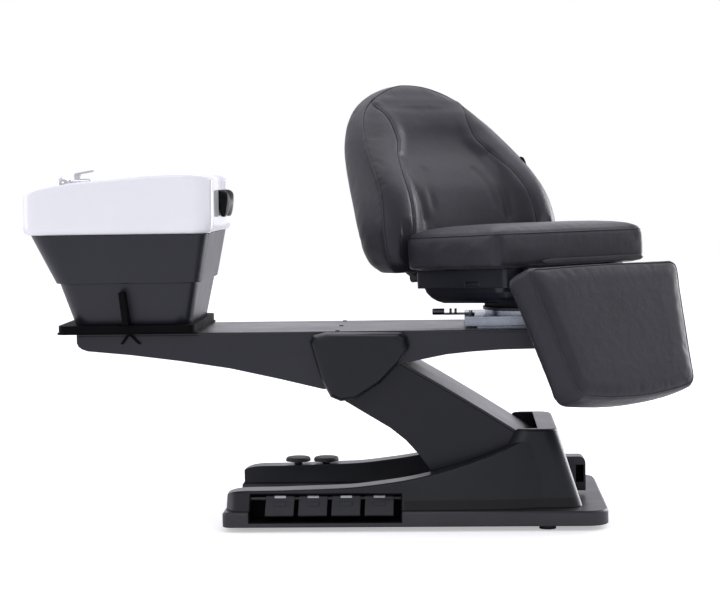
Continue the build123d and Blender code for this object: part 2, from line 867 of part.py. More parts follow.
def make_beam_frame():
    left = -beam_left + frame_end_gap
    right = beam_right - frame_end_gap
    low = beam_cover_top - frame_rail_height
    outer = frame_rail_inner + frame_rail_width
    frame = both_sides(block(left, right, frame_rail_inner, outer, low, beam_cover_top))
    places = [left] + [left + share * (right - left) for share in member_shares] + [right - member_width]
    for x in places:
        frame += block(x, x + member_width, -frame_rail_inner, frame_rail_inner, low, beam_cover_top)
    hollow = block(
        left - overrun, right + overrun, frame_rail_inner + tube_wall, outer - tube_wall,
        low + tube_wall, beam_cover_top - tube_wall,
    )
    frame -= both_sides(hollow)
    frame += block(-saddle_left, -saddle_right, -outer, outer, low - saddle_thickness, low)
    cheek_outline = spread(
        beam_cheek_shares, -saddle_left, saddle_left - saddle_right,
        beam_pivot_z - beam_cheek_below, low - beam_pivot_z + beam_cheek_below,
    )
    cheek = plate(flat(cheek_outline), cheek_inner, cheek_inner + cheek_thickness)
    frame += both_sides(cheek)
    cheek_outer = cheek_inner + cheek_thickness
    frame -= rod_y(
        beam_pivot_x, beam_pivot_z, -cheek_outer - overrun, cheek_outer + overrun, beam_pin_radius + pin_gap,
    )
    frame -= rod_y(
        beam_pivot_x - link_drop_x, beam_pivot_z - link_drop_z, -cheek_outer - overrun,
        cheek_outer + overrun, link_pin_radius + pin_gap,
    )
    return frame


def make_beam_pin():
    half = arm_plate_inner + arm_plate_thickness
    return rod_y(beam_pivot_x, beam_pivot_z, -half, half, beam_pin_radius)


def make_link_beam_pin():
    half = cheek_inner + cheek_thickness
    return rod_y(beam_pivot_x - link_drop_x, beam_pivot_z - link_drop_z, -half, half, link_pin_radius)


# Triangular hinge covers on both sides of the beam

hinge_cover_left_step = 122
hinge_cover_right_step = 152
hinge_cover_below = 81
hinge_cover_top_gap = 2
hinge_cover_thickness = 44
hinge_depth_shares = [0.4, 0.66, 0.86, 0.96, 1]
hinge_size_shares = [1, 0.985, 0.945, 0.9, 0.85]
hinge_cover_shares = [
    (0, 0.863), (0.033, 0.963), (0.161, 1), (0.912, 0.989), (0.978, 0.921), (1, 0.779),
    (0.905, 0.563), (0.704, 0.263), (0.453, 0.032), (0.303, 0), (0.201, 0.063), (0.106, 0.326),
]
hinge_cover_left = hinge_cover_left_step - beam_pivot_x
hinge_cover_right = hinge_cover_right_step + beam_pivot_x
hinge_cover_bottom = beam_pivot_z - hinge_cover_below
hinge_cover_top = beam_top - hinge_cover_top_gap


def make_hinge_cover(side):
    """Pillow shaped triangle: an upright rim and a face rounded towards its middle."""
    width = hinge_cover_left + hinge_cover_right
    height = hinge_cover_top - hinge_cover_bottom
    points = spread(hinge_cover_shares, -hinge_cover_left, width, hinge_cover_bottom, height)
    middle_x = sum(x for x, z in points) / len(points)
    middle_z = sum(z for x, z in points) / len(points)
    sections = []
    for depth, size in zip(hinge_depth_shares, hinge_size_shares):
        small = [(middle_x + (x - middle_x) * size, middle_z + (z - middle_z) * size) for x, z in points]
        y = -beam_half_width - depth * hinge_cover_thickness
        sections.append(Pos(0, y, 0) * (Plane.XZ * flat(small)))
    rim_y = -beam_half_width - hinge_depth_shares[0] * hinge_cover_thickness
    cover = plate(flat(points), rim_y, -beam_half_width) + loft(sections, ruled=True)
    if side > 0:
        cover = mirror(cover, Plane.XZ)
    return cover


# Basin group on the beam's left end

tray_left_inset = 96
tray_right_inset = 57
tray_side_inset = 20
tray_foot_height = 5
tray_height = 20
tray_corner = 24
tray_foot_step = 5
shell_wall = 5
shell_step_rise = 116
shell_step = 8
shell_low_left_inset = 134
shell_low_right_inset = 72
shell_low_side_inset = 50
shell_low_corner = 48
shell_mid_left_inset = 87
shell_mid_right_inset = 40
shell_mid_side_inset = 24
shell_mid_corner = 54
shell_top_left_inset = 20
shell_top_right_inset = 14
shell_top_side_inset = 10
shell_top_corner = 62
tray_top = beam_top + tray_foot_height + tray_height
tray_left = basin_left - tray_left_inset
tray_right = basin_right + tray_right_inset
tray_half_width = basin_half_width - tray_side_inset
shell_step_height = tray_top + shell_step_rise
shell_low_left = basin_left - shell_low_left_inset
shell_low_right = basin_right + shell_low_right_inset
shell_low_half = basin_half_width - shell_low_side_inset
shell_mid_left = basin_left - shell_mid_left_inset
shell_mid_right = basin_right + shell_mid_right_inset
shell_mid_half = basin_half_width - shell_mid_side_inset
shell_top_left = basin_left - shell_top_left_inset
shell_top_right = basin_right + shell_top_right_inset
shell_top_half = basin_half_width - shell_top_side_inset


def make_tray():
    foot_left = -tray_left - tray_foot_step
    foot_right = -tray_right + tray_foot_step
    foot = extrude(
        rounded(foot_left, foot_right, tray_half_width - tray_foot_step, tray_corner, beam_top),
        amount=tray_foot_height,
    )
    top = extrude(
        rounded(-tray_left, -tray_right, tray_half_width, tray_corner, beam_top + tray_foot_height),
        amount=tray_height,
    )
    hole = rod(
        (-drain_x, 0, beam_top - overrun), (-drain_x, 0, tray_top + overrun), drain_pipe_radius + pin_gap,
    )
    return foot + top - hole


def shell_body(inset, bottom, top):
    """Bowl shaped housing, drawn in at its lower part by a small step."""
    low = rounded(
        -shell_low_left + inset, -shell_low_right - inset, shell_low_half - inset,
        shell_low_corner - inset, bottom,
    )
    under_step = rounded(
        -shell_mid_left + shell_step + inset, -shell_mid_right - shell_step - inset,
        shell_mid_half - shell_step - inset, shell_mid_corner - inset, shell_step_height,
    )
    over_step = rounded(
        -shell_mid_left + inset, -shell_mid_right - inset, shell_mid_half - inset,
        shell_mid_corner - inset, shell_step_height,
    )
    high = rounded(
        -shell_top_left + inset, -shell_top_right - inset, shell_top_half - inset,
        shell_top_corner - inset, top,
    )
    return loft([low, under_step], ruled=True) + loft([over_step, high], ruled=True)


def make_basin_shell():
    outer = shell_body(0, tray_top, basin_bottom)
    inner = shell_body(shell_wall + shell_step / 2, tray_top + shell_wall, basin_bottom + overrun)
    hole = rod(
        (-drain_x, 0, tray_top - overrun), (-drain_x, 0, tray_top + 2 * overrun),
        drain_pipe_radius + pin_gap,
    )
    return outer - inner - hole


basin_edge = 15
basin_corner = 64
basin_rise = 174
rim_shares = [
    (0, 0.6), (0.03, 0.69), (0.1, 0.775), (0.27, 0.87),
    (0.5, 0.93), (0.8, 1), (0.93, 0.985), (1, 0.91),
]
rim_height = 164
deck_length = 124
basin_wall = 14
basin_hollow = 59
bowl_wall = 20
bowl_corner = 60
bowl_floor_rise = 37
bowl_floor_left_inset = 184
bowl_floor_right_inset = 88
bowl_floor_side_inset = 100
bowl_floor_corner = 70
notch_radius = 100
drain_step = 125
drain_radius = 32
drain_pipe_radius = 20
drain_rim = 4
faucet_inset = 79
faucet_stem_radius = 16
rest_thickness = 18
rest_below = 60
rest_flange = 36
rest_inner_reach = 28
rest_outer_reach = 27
rest_edge = 6
bowl_floor = basin_bottom + bowl_floor_rise
bowl_floor_left = basin_left - bowl_floor_left_inset
bowl_floor_right = basin_right + bowl_floor_right_inset
bowl_floor_half = basin_half_width - bowl_floor_side_inset
notch_centre_z = basin_bottom + basin_rise
drain_x = bowl_floor_right + drain_step
faucet_x = basin_left - faucet_inset
rest_top = notch_centre_z - rest_below


def basin_rim():
    """Space above the rim: the rim rises towards the neck end."""
    low = basin_bottom
    points = spread(rim_shares, -basin_left, basin_left - basin_right, low, rim_height)
    first = (points[0][0] - overrun, points[0][1])
    last = (points[-1][0] + overrun, points[-1][1])
    high = basin_bottom + basin_rise + 2 * overrun
    line = Polyline(first, *points, last, (last[0], high), (first[0], high), close=True)
    return plate(make_face(line), -basin_half_width - overrun, basin_half_width + overrun)


def neck_round(radius, left, right):
    """Lying cylinder about the middle of the neck notch."""
    return rod((left, 0, notch_centre_z), (right, 0, notch_centre_z), radius)


def bowl_space(grow):
    """Inside of the bowl, made larger on every side by grow."""
    low = rounded(
        -bowl_floor_left - grow, -bowl_floor_right + grow, bowl_floor_half + grow,
        bowl_floor_corner + grow, bowl_floor - grow,
    )
    top = rounded(
        -basin_left + deck_length - grow, -basin_right - bowl_wall + grow,
        basin_half_width - bowl_wall + grow, bowl_corner + grow, basin_bottom + basin_rise,
    )
    return loft([low, top], ruled=True)


def make_basin():
    low = rounded(
        -basin_left + basin_edge, -basin_right - basin_edge, basin_half_width - basin_edge,
        basin_corner - basin_edge, basin_bottom,
    )
    full = rounded(-basin_left, -basin_right, basin_half_width, basin_corner, basin_bottom + basin_edge)
    body = loft([low, full], ruled=True) + extrude(full, amount=basin_rise - basin_edge)
    body -= basin_rim()
    edge = basin_edge + basin_wall
    hollow = extrude(
        rounded(
            -basin_left + edge, -basin_right - edge, basin_half_width - edge,
            basin_corner - basin_edge, basin_bottom - overrun,
        ),
        amount=basin_hollow + overrun,
    )
    body -= hollow - bowl_space(basin_wall)
    body -= bowl_space(0)
    body -= neck_round(notch_radius, -basin_right - 2 * bowl_wall - rest_inner_reach, -basin_right + overrun)
    below = (-drain_x, 0, basin_bottom - overrun)
    mouth = (-drain_x, 0, bowl_floor + overrun)
    body -= rod(below, mouth, drain_pipe_radius + pin_gap)
    body -= rod((-drain_x, 0, bowl_floor - drain_rim), mouth, drain_radius + soft_gap)
    crown = (-faucet_x, 0, basin_bottom + basin_rise)
    body -= rod((-faucet_x, 0, basin_bottom - overrun), crown, faucet_stem_radius + pin_gap)
    return body - rod((-faucet_x, 0, faucet_base_z), crown, faucet_base_radius + faucet_seat_gap)


def make_neck_rest():
    """Soft saddle over the notch, with a flange that hangs down outside."""
    left = -basin_right - rest_inner_reach
    right = -basin_right + rest_outer_reach
    saddle = neck_round(notch_radius - soft_gap, left, right)
    flange = neck_round(notch_radius + rest_flange, -basin_right + soft_gap, right)
    throat = neck_round(notch_radius - rest_thickness, left - overrun, right + overrun)
    above = block(
        left - overrun, right + overrun, -2 * notch_radius, 2 * notch_radius,
        rest_top, notch_centre_z + 2 * notch_radius,
    )
    rest = saddle + flange - throat - above
    return fillet(rest.faces().sort_by(Axis.X)[-1].edges(), rest_edge)


def make_drain():
    """Strainer cup in the bowl's floor with its pipe down to the beam."""
    seat_floor = bowl_floor - drain_rim
    cup = rod((-drain_x, 0, seat_floor), (-drain_x, 0, bowl_floor - drain_rim / 4), drain_radius)
    pipe = rod((-drain_x, 0, beam_top), (-drain_x, 0, seat_floor), drain_pipe_radius)
    wall = drain_pipe_radius - drain_rim
    bore = rod((-drain_x, 0, beam_top - overrun), (-drain_x, 0, seat_floor - drain_rim), wall)
    fitting = cup + pipe - bore
    hole_radius = drain_rim / 2
    for ring_share, count in ((0, 1), (0.4, 6)):
        for index in range(count):
            turn = radians(360 * index / count)
            x = -drain_x + ring_share * drain_radius * cos(turn)
            y = ring_share * drain_radius * sin(turn)
            fitting -= rod((x, y, seat_floor - 2 * overrun), (x, y, bowl_floor + overrun), hole_radius)
    return fitting


faucet_base_rise = 125
faucet_base_radius = 25
faucet_seat_gap = 3
faucet_base_height = 6
faucet_radius = 22
faucet_dome_rise = 16
faucet_stem_length = 70
spout_radius = 6
spout_rise = 24
spout_reach = 72
spout_drop = 12
lever_pivot_reach = 38
lever_pivot_rise = 39
lever_length = 48
lever_rise = 13
lever_width = 20
lever_thickness = 6
lever_hub_radius = 8
lever_pin_radius = 4
lever_x = -faucet_x + lever_pivot_reach
faucet_base_z = basin_bottom + faucet_base_rise
faucet_dome_z = faucet_base_z + faucet_dome_rise
spout_z = faucet_base_z + spout_rise
lever_pivot_z = faucet_base_z + lever_pivot_rise


def make_faucet_body():
    """Domed mixer with a short spout over the bowl's edge, and the lever's ears on it."""
    seat = (-faucet_x, 0, faucet_base_z)
    stem = rod((-faucet_x, 0, faucet_base_z - faucet_stem_length), seat, faucet_stem_radius)
    deck = rod(seat, (-faucet_x, 0, faucet_base_z + faucet_base_height), faucet_base_radius)
    body = rod(seat, (-faucet_x, 0, faucet_dome_z), faucet_radius)
    dome = Pos(-faucet_x, 0, faucet_dome_z) * Sphere(faucet_radius)
    lip = (-faucet_x + spout_reach, 0, spout_z)
    spout_end = (-faucet_x + spout_reach, 0, spout_z - spout_drop)
    spout = rod((-faucet_x, 0, spout_z), lip, spout_radius)
    spout += Pos(*lip) * Sphere(spout_radius) + rod(lip, spout_end, spout_radius)
    ears = block(
        lever_x - lever_hub_radius, lever_x + lever_hub_radius, -lever_width / 4, lever_width / 4,
        spout_z, lever_pivot_z,
    )
    pin = rod_y(lever_x, lever_pivot_z, -lever_width / 2, lever_width / 2, lever_pin_radius)
    return stem + deck + body + dome + spout + ears + pin


def make_faucet_lever():
    """Blade that rises towards the bowl from a hub on the mixer."""
    gap = lever_width / 4 + soft_gap
    hub = rod_y(lever_x, lever_pivot_z, -lever_width / 2, lever_width / 2, lever_hub_radius)
    hub -= block(
        lever_x - 2 * lever_hub_radius, lever_x + 2 * lever_hub_radius, -gap, gap,
        lever_pivot_z - 2 * lever_hub_radius, lever_pivot_z + lever_hub_radius / 2,
    )
    start = Vector(lever_x, 0, lever_pivot_z + lever_hub_radius - lever_thickness / 2)
    end = Vector(lever_x + lever_length, 0, lever_pivot_z + lever_rise)
    lever = hub + rod_box(start, end, lever_thickness / 2, lever_width / 2)
    return lever - rod_y(lever_x, lever_pivot_z, -lever_width, lever_width, lever_pin_radius + bore_gap)


grip_bar_inset = 279
grip_bar_foot_rise = 2
grip_bar_height = 90
grip_bar_lean = 10
grip_bar_width = 16
grip_bar_depth = 14
stay_apex_step = 11
stay_foot_step = 10
stay_branch_step = 40
stay_thickness = 8
stay_drop = 29
grip_bar_left = basin_left - grip_bar_inset
grip_bar_bottom = tray_top + grip_bar_foot_rise
grip_bar_top = grip_bar_bottom + grip_bar_height
stay_apex_x = grip_bar_left - stay_apex_step
stay_foot_x = grip_bar_left + stay_foot_step
stay_branch_x = grip_bar_left - stay_branch_step


def make_grip_bar():
    """Upright bar on the near face of the shell."""
    face = -shell_mid_half - shell_step
    top_x = -grip_bar_left
    low_x = top_x + grip_bar_lean
    half = grip_bar_width / 2
    outline = [
        (top_x - half, grip_bar_top), (top_x + half, grip_bar_top),
        (low_x + half, grip_bar_bottom), (low_x - half, grip_bar_bottom),
    ]
    bar = plate(flat(outline), face - grip_bar_depth, -shell_low_half)
    return bar - shell_body(0, tray_top, basin_bottom)


def make_forked_stay():
    """Small fork that hangs from the tray against the beam's near side."""
    apex = (-stay_apex_x, beam_top)
    foot_z = beam_top - stay_drop
    half = stay_thickness / 2
    near = -beam_half_width - stay_thickness
    stay = None
    for foot_x in (-stay_foot_x, -stay_branch_x):
        leg = [
            (apex[0] - half, apex[1]), (apex[0] + half, apex[1]),
            (foot_x + half, foot_z), (foot_x - half, foot_z),
        ]
        solid = plate(flat(leg), near, -beam_half_width)
        stay = solid if stay is None else stay + solid
    return stay


# Slide and swivel under the seat. Seat pieces are drawn with the seat looking
# along +X over the swivel axis, and turned and moved to their place afterwards.

slide_left = 190
slide_right = 465
slide_half_width = 150
slide_plate = 5
slide_rail_y = 105
slide_rail_width = 20
slide_rail_height = 15
slide_travel = 80
carriage_left = 155
carriage_right = 445
carriage_half_width = 140
carriage_plate_height = 6
carriage_runner = 6
race_radius = 112
race_inner_radius = 60
race_height = 12
disc_radius = 118
disc_height = 8
lever_pivot_x = 172
lever_pivot_y = 60
lever_height = 12
lock_width = 14
lock_thickness = 6
lock_grip_start = 98
lock_grip_end = 64
lock_grip_radius = 9
lock_collar_start = 112
lock_collar_width = 7
lock_pivot_radius = 5
lock_hub_radius = 11
lock_range = 12
slide_top = beam_top + slide_plate + slide_rail_height
carriage_low = slide_top + slide_gap + carriage_runner
carriage_top = carriage_low + carriage_plate_height
race_top = carriage_top + race_height
disc_bottom = race_top + slide_gap
disc_top = disc_bottom + disc_height


def seat_place(shape):
    """Moves a seat piece from its drawing place over the swivel axis."""
    return Pos(swivel_x, 0, 0) * Rot(0, 0, -swivel_turn) * shape


def tilted(shape):
    """Raises the front of a seat piece a little."""
    return Pos(0, 0, seat_base) * Rot(0, -seat_tilt, 0) * Pos(0, 0, -seat_base) * shape


def make_slide_base():
    base = block(
        slide_left, slide_right, -slide_half_width, slide_half_width, beam_top, beam_top + slide_plate,
    )
    rail = block(
        slide_left, slide_right, slide_rail_y, slide_rail_y + slide_rail_width,
        beam_top + slide_plate, slide_top,
    )
    return base + both_sides(rail)


def make_carriage():
    """Plate on two runners, with lips that reach down outside the rails."""
    top = block(
        carriage_left, carriage_right, -carriage_half_width, carriage_half_width,
        carriage_low, carriage_top,
    )
    runner = block(
        carriage_left, carriage_right, slide_rail_y, slide_rail_y + slide_rail_width,
        slide_top + slide_gap, carriage_low,
    )
    lip_inner = slide_rail_y + slide_rail_width + slide_gap
    lip = block(
        carriage_left, carriage_right, lip_inner, lip_inner + carriage_plate_height,
        beam_top + slide_plate + slide_gap, carriage_low,
    )
    carriage = top + both_sides(runner + lip)
    pivot = rod(
        (lever_pivot_x, -lever_pivot_y, carriage_low),
        (lever_pivot_x, -lever_pivot_y, carriage_top + lever_height), lock_pivot_radius,
    )
    return carriage + pivot


def make_swivel_race():
    low = (swivel_x, 0, carriage_top)
    high = (swivel_x, 0, race_top)
    return ring(low, high, race_radius, race_inner_radius)


def make_lock_lever():
    """Flat lever with two collars and a round grip."""
    z = carriage_top + slide_gap
    mid = z + lock_thickness / 2
    y = -lever_pivot_y
    bar = block(
        lock_grip_start, lever_pivot_x, y - lock_width / 2, y + lock_width / 2, z, z + lock_thickness,
    )
    hub = rod((lever_pivot_x, y, z), (lever_pivot_x, y, z + lock_thickness), lock_hub_radius)
    lever = bar + hub
    axis_z = mid + lock_grip_radius - lock_thickness / 2
    for index in range(2):
        start = lock_collar_start + index * 2 * lock_collar_width
        lever += rod((start, y, axis_z), (start + lock_collar_width, y, axis_z), lock_grip_radius)
    grip = rod((lock_grip_end, y, axis_z), (lock_grip_start, y, axis_z), lock_grip_radius)
    grip = fillet(grip.edges().sort_by(Axis.X)[0], lock_thickness / 2)
    lever += grip
    return lever - rod(
        (lever_pivot_x, y, z - overrun), (lever_pivot_x, y, z + 2 * lever_height),
        lock_pivot_radius + bore_gap,
    )


# Seat: frame, housing, cushion and flap

seat_rise = 170
cushion_height = 88
crown_height = 26
cushion_corner = 30
cushion_draw = 55
cushion_level_shares = [0, 0.1, 0.45, 0.86, 0.96, 1]
cushion_inset_shares = [0.16, 0.05, 0, 0.02, 0.07, 0.14]
crown_level_shares = [0.4, 0.75, 1]
crown_inset_shares = [0.5, 1.2, 2.1]
pedestal_half = 80
pan_thickness = 8
side_rail_step = 45
side_rail_width = 16
frame_rear_inset = 9
frame_front_inset = 45
pan_inset = 24
housing_rear_step = 20
housing_front_inset = 19
housing_side_inset = 44
housing_drop = 58
housing_height = 51
housing_corner = 14
housing_wall = 4
tub_top_inset = 11
tub_bottom_inset = 38
tub_front_inset = 26
tub_height = 44
tub_corner = 24
tub_level_shares = [0, 0.14, 0.36, 0.7, 1]
tub_inset_shares = [1, 0.66, 0.36, 0.1, 0]
handle_left = 1
handle_right = 61
handle_rise = 3
handle_height = 13
handle_depth = 3
flap_thickness = 4
flap_height = 18
flap_near = 130
flap_far = 255
flap_gap = 2
flap_hem = 18
recline_step = 40
recline_drop = 38
lug_inset = 19
lug_thickness = 12
lug_radius = 13
recline_pin_radius = 8
legrest_hinge_step = 4
legrest_hinge_drop = 6
leg_lug_inset = 30
leg_lug_thickness = 10
leg_lug_radius = 9
leg_pin_radius = 5
seat_base = beam_top + seat_rise
housing_bottom = seat_base - housing_drop
housing_top = housing_bottom + housing_height
housing_rear = seat_rear + housing_rear_step
housing_front = seat_front - housing_front_inset
housing_half_width = seat_half_width - housing_side_inset
pan_bottom = housing_bottom + housing_wall
tub_bottom = housing_bottom - tub_height
side_rail_inner = housing_half_width - side_rail_step
frame_rear = seat_rear - frame_rear_inset
frame_front = seat_front - frame_front_inset
handle_low = housing_bottom + handle_rise
handle_high = handle_low + handle_height
recline_x = seat_rear + recline_step
recline_z = seat_base - recline_drop
lug_inner = housing_half_width - lug_inset
legrest_hinge_x = seat_front + legrest_hinge_step
legrest_hinge_z = seat_base - legrest_hinge_drop
leg_lug_inner = side_rail_inner - leg_lug_inset


def make_seat_frame():
    """Swivel disc, pedestal, pan with side rails, and the lugs of both hinges."""
    disc = rod((0, 0, disc_bottom), (0, 0, disc_top), disc_radius)
    pedestal = block(
        -pedestal_half, pedestal_half, -pedestal_half, pedestal_half, disc_top, pan_bottom + pan_thickness,
    )
    inner = housing_half_width - housing_wall
    pan_rear = housing_rear - pan_inset
    pan = block(-pan_rear, frame_front, -inner, inner, pan_bottom, pan_bottom + pan_thickness)
    rail = block(
        -frame_rear, frame_front, side_rail_inner, side_rail_inner + side_rail_width,
        pan_bottom + pan_thickness, seat_base - soft_gap,
    )
    frame = disc + pedestal + tilted(pan + both_sides(rail))
    lug_top = recline_z + lug_radius / 2
    lug = block(
        -recline_x, -frame_rear + lug_radius, lug_inner, lug_inner + lug_thickness,
        recline_z - lug_radius / 2, lug_top,
    )
    lug += rod_y(-recline_x, recline_z, lug_inner, lug_inner + lug_thickness, lug_radius)
    web = block(
        -frame_rear, -frame_rear + lug_radius, side_rail_inner, lug_inner + lug_thickness,
        recline_z - lug_radius / 2, lug_top,
    )
    arm_inner = lug_inner - soft_gap - lug_thickness
    pin = rod_y(-recline_x, recline_z, arm_inner, lug_inner, recline_pin_radius)
    frame += both_sides(lug + web + pin)
    front_lug = block(
        frame_front - leg_lug_radius, legrest_hinge_x, leg_lug_inner, leg_lug_inner + leg_lug_thickness,
        legrest_hinge_z - leg_lug_radius, legrest_hinge_z + leg_lug_radius,
    )
    front_lug += rod_y(
        legrest_hinge_x, legrest_hinge_z, leg_lug_inner, leg_lug_inner + leg_lug_thickness, leg_lug_radius,
    )
    front_web = block(
        frame_front - 2 * leg_lug_radius, frame_front, leg_lug_inner, side_rail_inner + side_rail_width,
        legrest_hinge_z - 2 * leg_lug_radius, legrest_hinge_z + leg_lug_radius / 2,
    )
    front_pin = rod_y(
        legrest_hinge_x, legrest_hinge_z, leg_lug_inner,
        leg_lug_inner + 2 * leg_lug_thickness + soft_gap, leg_pin_radius,
    )
    frame += both_sides(front_lug + front_web + front_pin)
    return seat_place(frame)


def tub_section(inset, wall):
    """Level outline of the tub at its foot's height, drawn in by an inset."""
    side = tub_top_inset + inset + wall
    return rounded(
        -housing_rear + side, housing_front - side - tub_front_inset, housing_half_width - side,
        tub_corner, tub_bottom,
    )


def tub(wall):
    """Tub under the housing, rounded in towards its bottom."""
    sections = []
    for level, inset in zip(tub_level_shares, tub_inset_shares):
        sections.append(Pos(0, 0, level * tub_height) * tub_section(inset * tub_bottom_inset, wall))
    return loft(sections, ruled=True)


def make_seat_housing():
    """Moulded shell under the cushion: an upright upper part and a rounded tub below it."""
    upper = extrude(
        rounded(-housing_rear, housing_front, housing_half_width, housing_corner, housing_bottom),
        amount=housing_top - housing_bottom,
    )
    upper_room = extrude(
        rounded(
            -housing_rear + housing_wall, housing_front - housing_wall,
            housing_half_width - housing_wall, housing_corner - housing_wall, housing_bottom + housing_wall,
        ),
        amount=housing_top - housing_bottom,
    )
    ledge = extrude(tub_section(0, housing_wall), amount=housing_wall)
    shell = upper + tub(0) - upper_room - tub(housing_wall) - Pos(0, 0, tub_height) * ledge
    bottom = extrude(tub_section(tub_bottom_inset, 0), amount=housing_wall)
    hole = rod((0, 0, disc_bottom), (0, 0, housing_bottom), pedestal_half * hypot(1, 1) + housing_wall)
    shell += bottom - hole
    rear = block(
        -housing_rear - overrun, -frame_rear + lug_radius + soft_gap, -lug_inner - lug_thickness - soft_gap,
        lug_inner + lug_thickness + soft_gap, housing_bottom + housing_wall, housing_top + overrun,
    )
    shell -= rear
    recess = block(
        handle_left, handle_right, -housing_half_width - overrun, -housing_half_width + handle_depth,
        handle_low, handle_high,
    )
    shell = tilted(shell - both_sides(recess))
    for side in (-1, 1):
        low_y, high_y = sorted((
            side * (leg_lug_inner - slide_gap),
            side * (leg_lug_inner + 2 * leg_lug_thickness + 2 * soft_gap),
        ))
        shell -= block(
            frame_front, legrest_hinge_x + overrun, low_y, high_y,
            legrest_hinge_z - 2 * leg_lug_radius, legrest_hinge_z + 2 * leg_lug_radius,
        )
    return seat_place(shell)


def make_seat_cushion():
    """Cushion with drawn-in foot, upright sides and a crowned top."""
    sections = []
    rows = [
        (level * cushion_height, inset * cushion_draw)
        for level, inset in zip(cushion_level_shares, cushion_inset_shares)
    ]
    rows += [
        (cushion_height + level * crown_height, inset * cushion_draw)
        for level, inset in zip(crown_level_shares, crown_inset_shares)
    ]
    for height, inset in rows:
        sections.append(rounded(
            -seat_rear + inset, seat_front - inset, seat_half_width - inset, cushion_corner,
            seat_base + height,
        ))
    return seat_place(tilted(loft(sections, ruled=True)))


def make_seat_flap():
    """Strip of leather that hangs in front of the cushion's lower edge."""
    front = seat_front + flap_gap
    low = seat_base - flap_gap - soft_gap
    strip = block(front, front + flap_thickness, -flap_near, flap_far, low, low + flap_height)
    strip = fillet(strip.edges().filter_by(Axis.Y), flap_thickness / 3)
    hem = block(
        seat_front - flap_hem, front + flap_thickness / 2, -flap_near, flap_far,
        low, seat_base - soft_gap,
    )
    return seat_place(tilted(strip + hem))


# Backrest

back_drop = 24
back_height = 553
back_side_step = 62
back_gap = 17
back_depth = 337
back_level_shares = [0, 0.04, 0.14, 0.28, 0.443, 0.62, 0.79, 0.9, 0.965, 1]
back_width_shares = [0.86, 0.94, 0.99, 0.99, 0.95, 0.875, 0.71, 0.54, 0.34, 0.13]
back_front_shares = [0.053, 0, 0, 0.035, 0.145, 0.4, 0.665, 0.81, 0.885, 0.94]
back_rear_shares = [0.32, 0.385, 0.463, 0.56, 0.706, 0.845, 0.955, 0.994, 0.993, 0.97]
back_hollow_shares = [0.3, 0.9, 1, 1, 0.85, 0.3, 0.12, 0.08, 0.05, 0.03]
back_hollow = 40
bolster_share = 0.7
hollow_share = 0.44
back_round_share = 0.3
hollow_round_share = 0.16
back_arm_inset = 16
back_arm_low_step = 65
back_arm_low_rise = 24
back_arm_high_step = 180
back_arm_high_rise = 332
back_bar_depth = 24
back_arm_thickness = 12
back_bar_shares = [0.35, 0.95]
tab_rise = 322
tab_half_height = 16
tab_thickness = 3
tab_length = 20
back_low = seat_base - back_drop
back_half_width = seat_half_width + back_side_step
back_front = seat_rear + back_gap
back_arm_inner = lug_inner - back_arm_inset
back_arm_low_x = recline_x + back_arm_low_step
back_arm_low_z = recline_z + back_arm_low_rise
back_arm_high_x = recline_x + back_arm_high_step
back_arm_high_z = recline_z + back_arm_high_rise
tab_level = back_low + tab_rise


def back_section(level, width, front, rear, hollow):
    """Level section of the backrest: two bolsters with a hollow between them."""
    front_x = -back_front - front * back_depth
    rear_x = -back_front - rear * back_depth
    half = width * back_half_width
    dip = front_x - hollow * back_hollow
    corners = [
        (rear_x, -half), (front_x, -half), (front_x, -half * bolster_share), (dip, -half * hollow_share),
        (dip, half * hollow_share), (front_x, half * bolster_share), (front_x, half), (rear_x, half),
    ]
    face = make_face(Polyline(*corners, close=True))
    outer = [v for v in face.vertices() if abs(v.Y) > half * (1 + bolster_share) / 2]
    face = fillet(outer, back_round_share * (front_x - rear_x))
    inner_y = half * (1 + bolster_share) / 2
    inner = [
        v for v in face.vertices()
        if abs(v.Y) < inner_y and (abs(abs(v.Y) - half * bolster_share) < soft_gap
                                   or abs(abs(v.Y) - half * hollow_share) < soft_gap)
    ]
    face = fillet(inner, hollow_round_share * (front_x - rear_x))
    return Pos(0, 0, back_low + level * back_height) * face


def back_steel(widen):
    """Two arms with cross bars, as drawn or a little larger."""
    start = Vector(-back_arm_low_x, 0, back_arm_low_z)
    end = Vector(-back_arm_high_x, 0, back_arm_high_z)
    run = end - start
    plane = Plane(origin=start, x_dir=run, z_dir=(0, 1, 0))
    arm_middle = back_arm_inner + back_arm_thickness / 2
    bar = plane * Pos(run.length / 2, 0, arm_middle) * Box(
        run.length + 2 * widen, back_bar_depth + 2 * widen, back_arm_thickness + 2 * widen,
    )
    steel = both_sides(bar)
    for share in back_bar_shares:
        steel += plane * Pos(share * run.length, 0, 0) * Box(
            back_bar_depth + 2 * widen, back_bar_depth / 2 + 2 * widen, 2 * back_arm_inner + 2 * widen,
        )
    return steel


def make_back_frame():
    arm_end = back_arm_inner + back_arm_thickness
    foot = [
        (-recline_x + lug_radius / 2, recline_z - lug_radius / 2),
        (-recline_x + lug_radius / 2, recline_z + lug_radius / 2),
        (-back_arm_low_x + back_bar_depth / 2, back_arm_low_z + back_bar_depth),
        (-back_arm_low_x - back_bar_depth / 2, back_arm_low_z),
        (-recline_x - lug_radius, recline_z - lug_radius / 2),
    ]
    plate_low = plate(flat(foot), back_arm_inner, arm_end)
    plate_low += rod_y(-recline_x, recline_z, back_arm_inner, arm_end, lug_radius)
    frame = back_steel(0) + both_sides(plate_low)
    bore = recline_pin_radius + bore_gap
    frame -= rod_y(-recline_x, recline_z, -arm_end - overrun, arm_end + overrun, bore)
    return seat_place(frame)


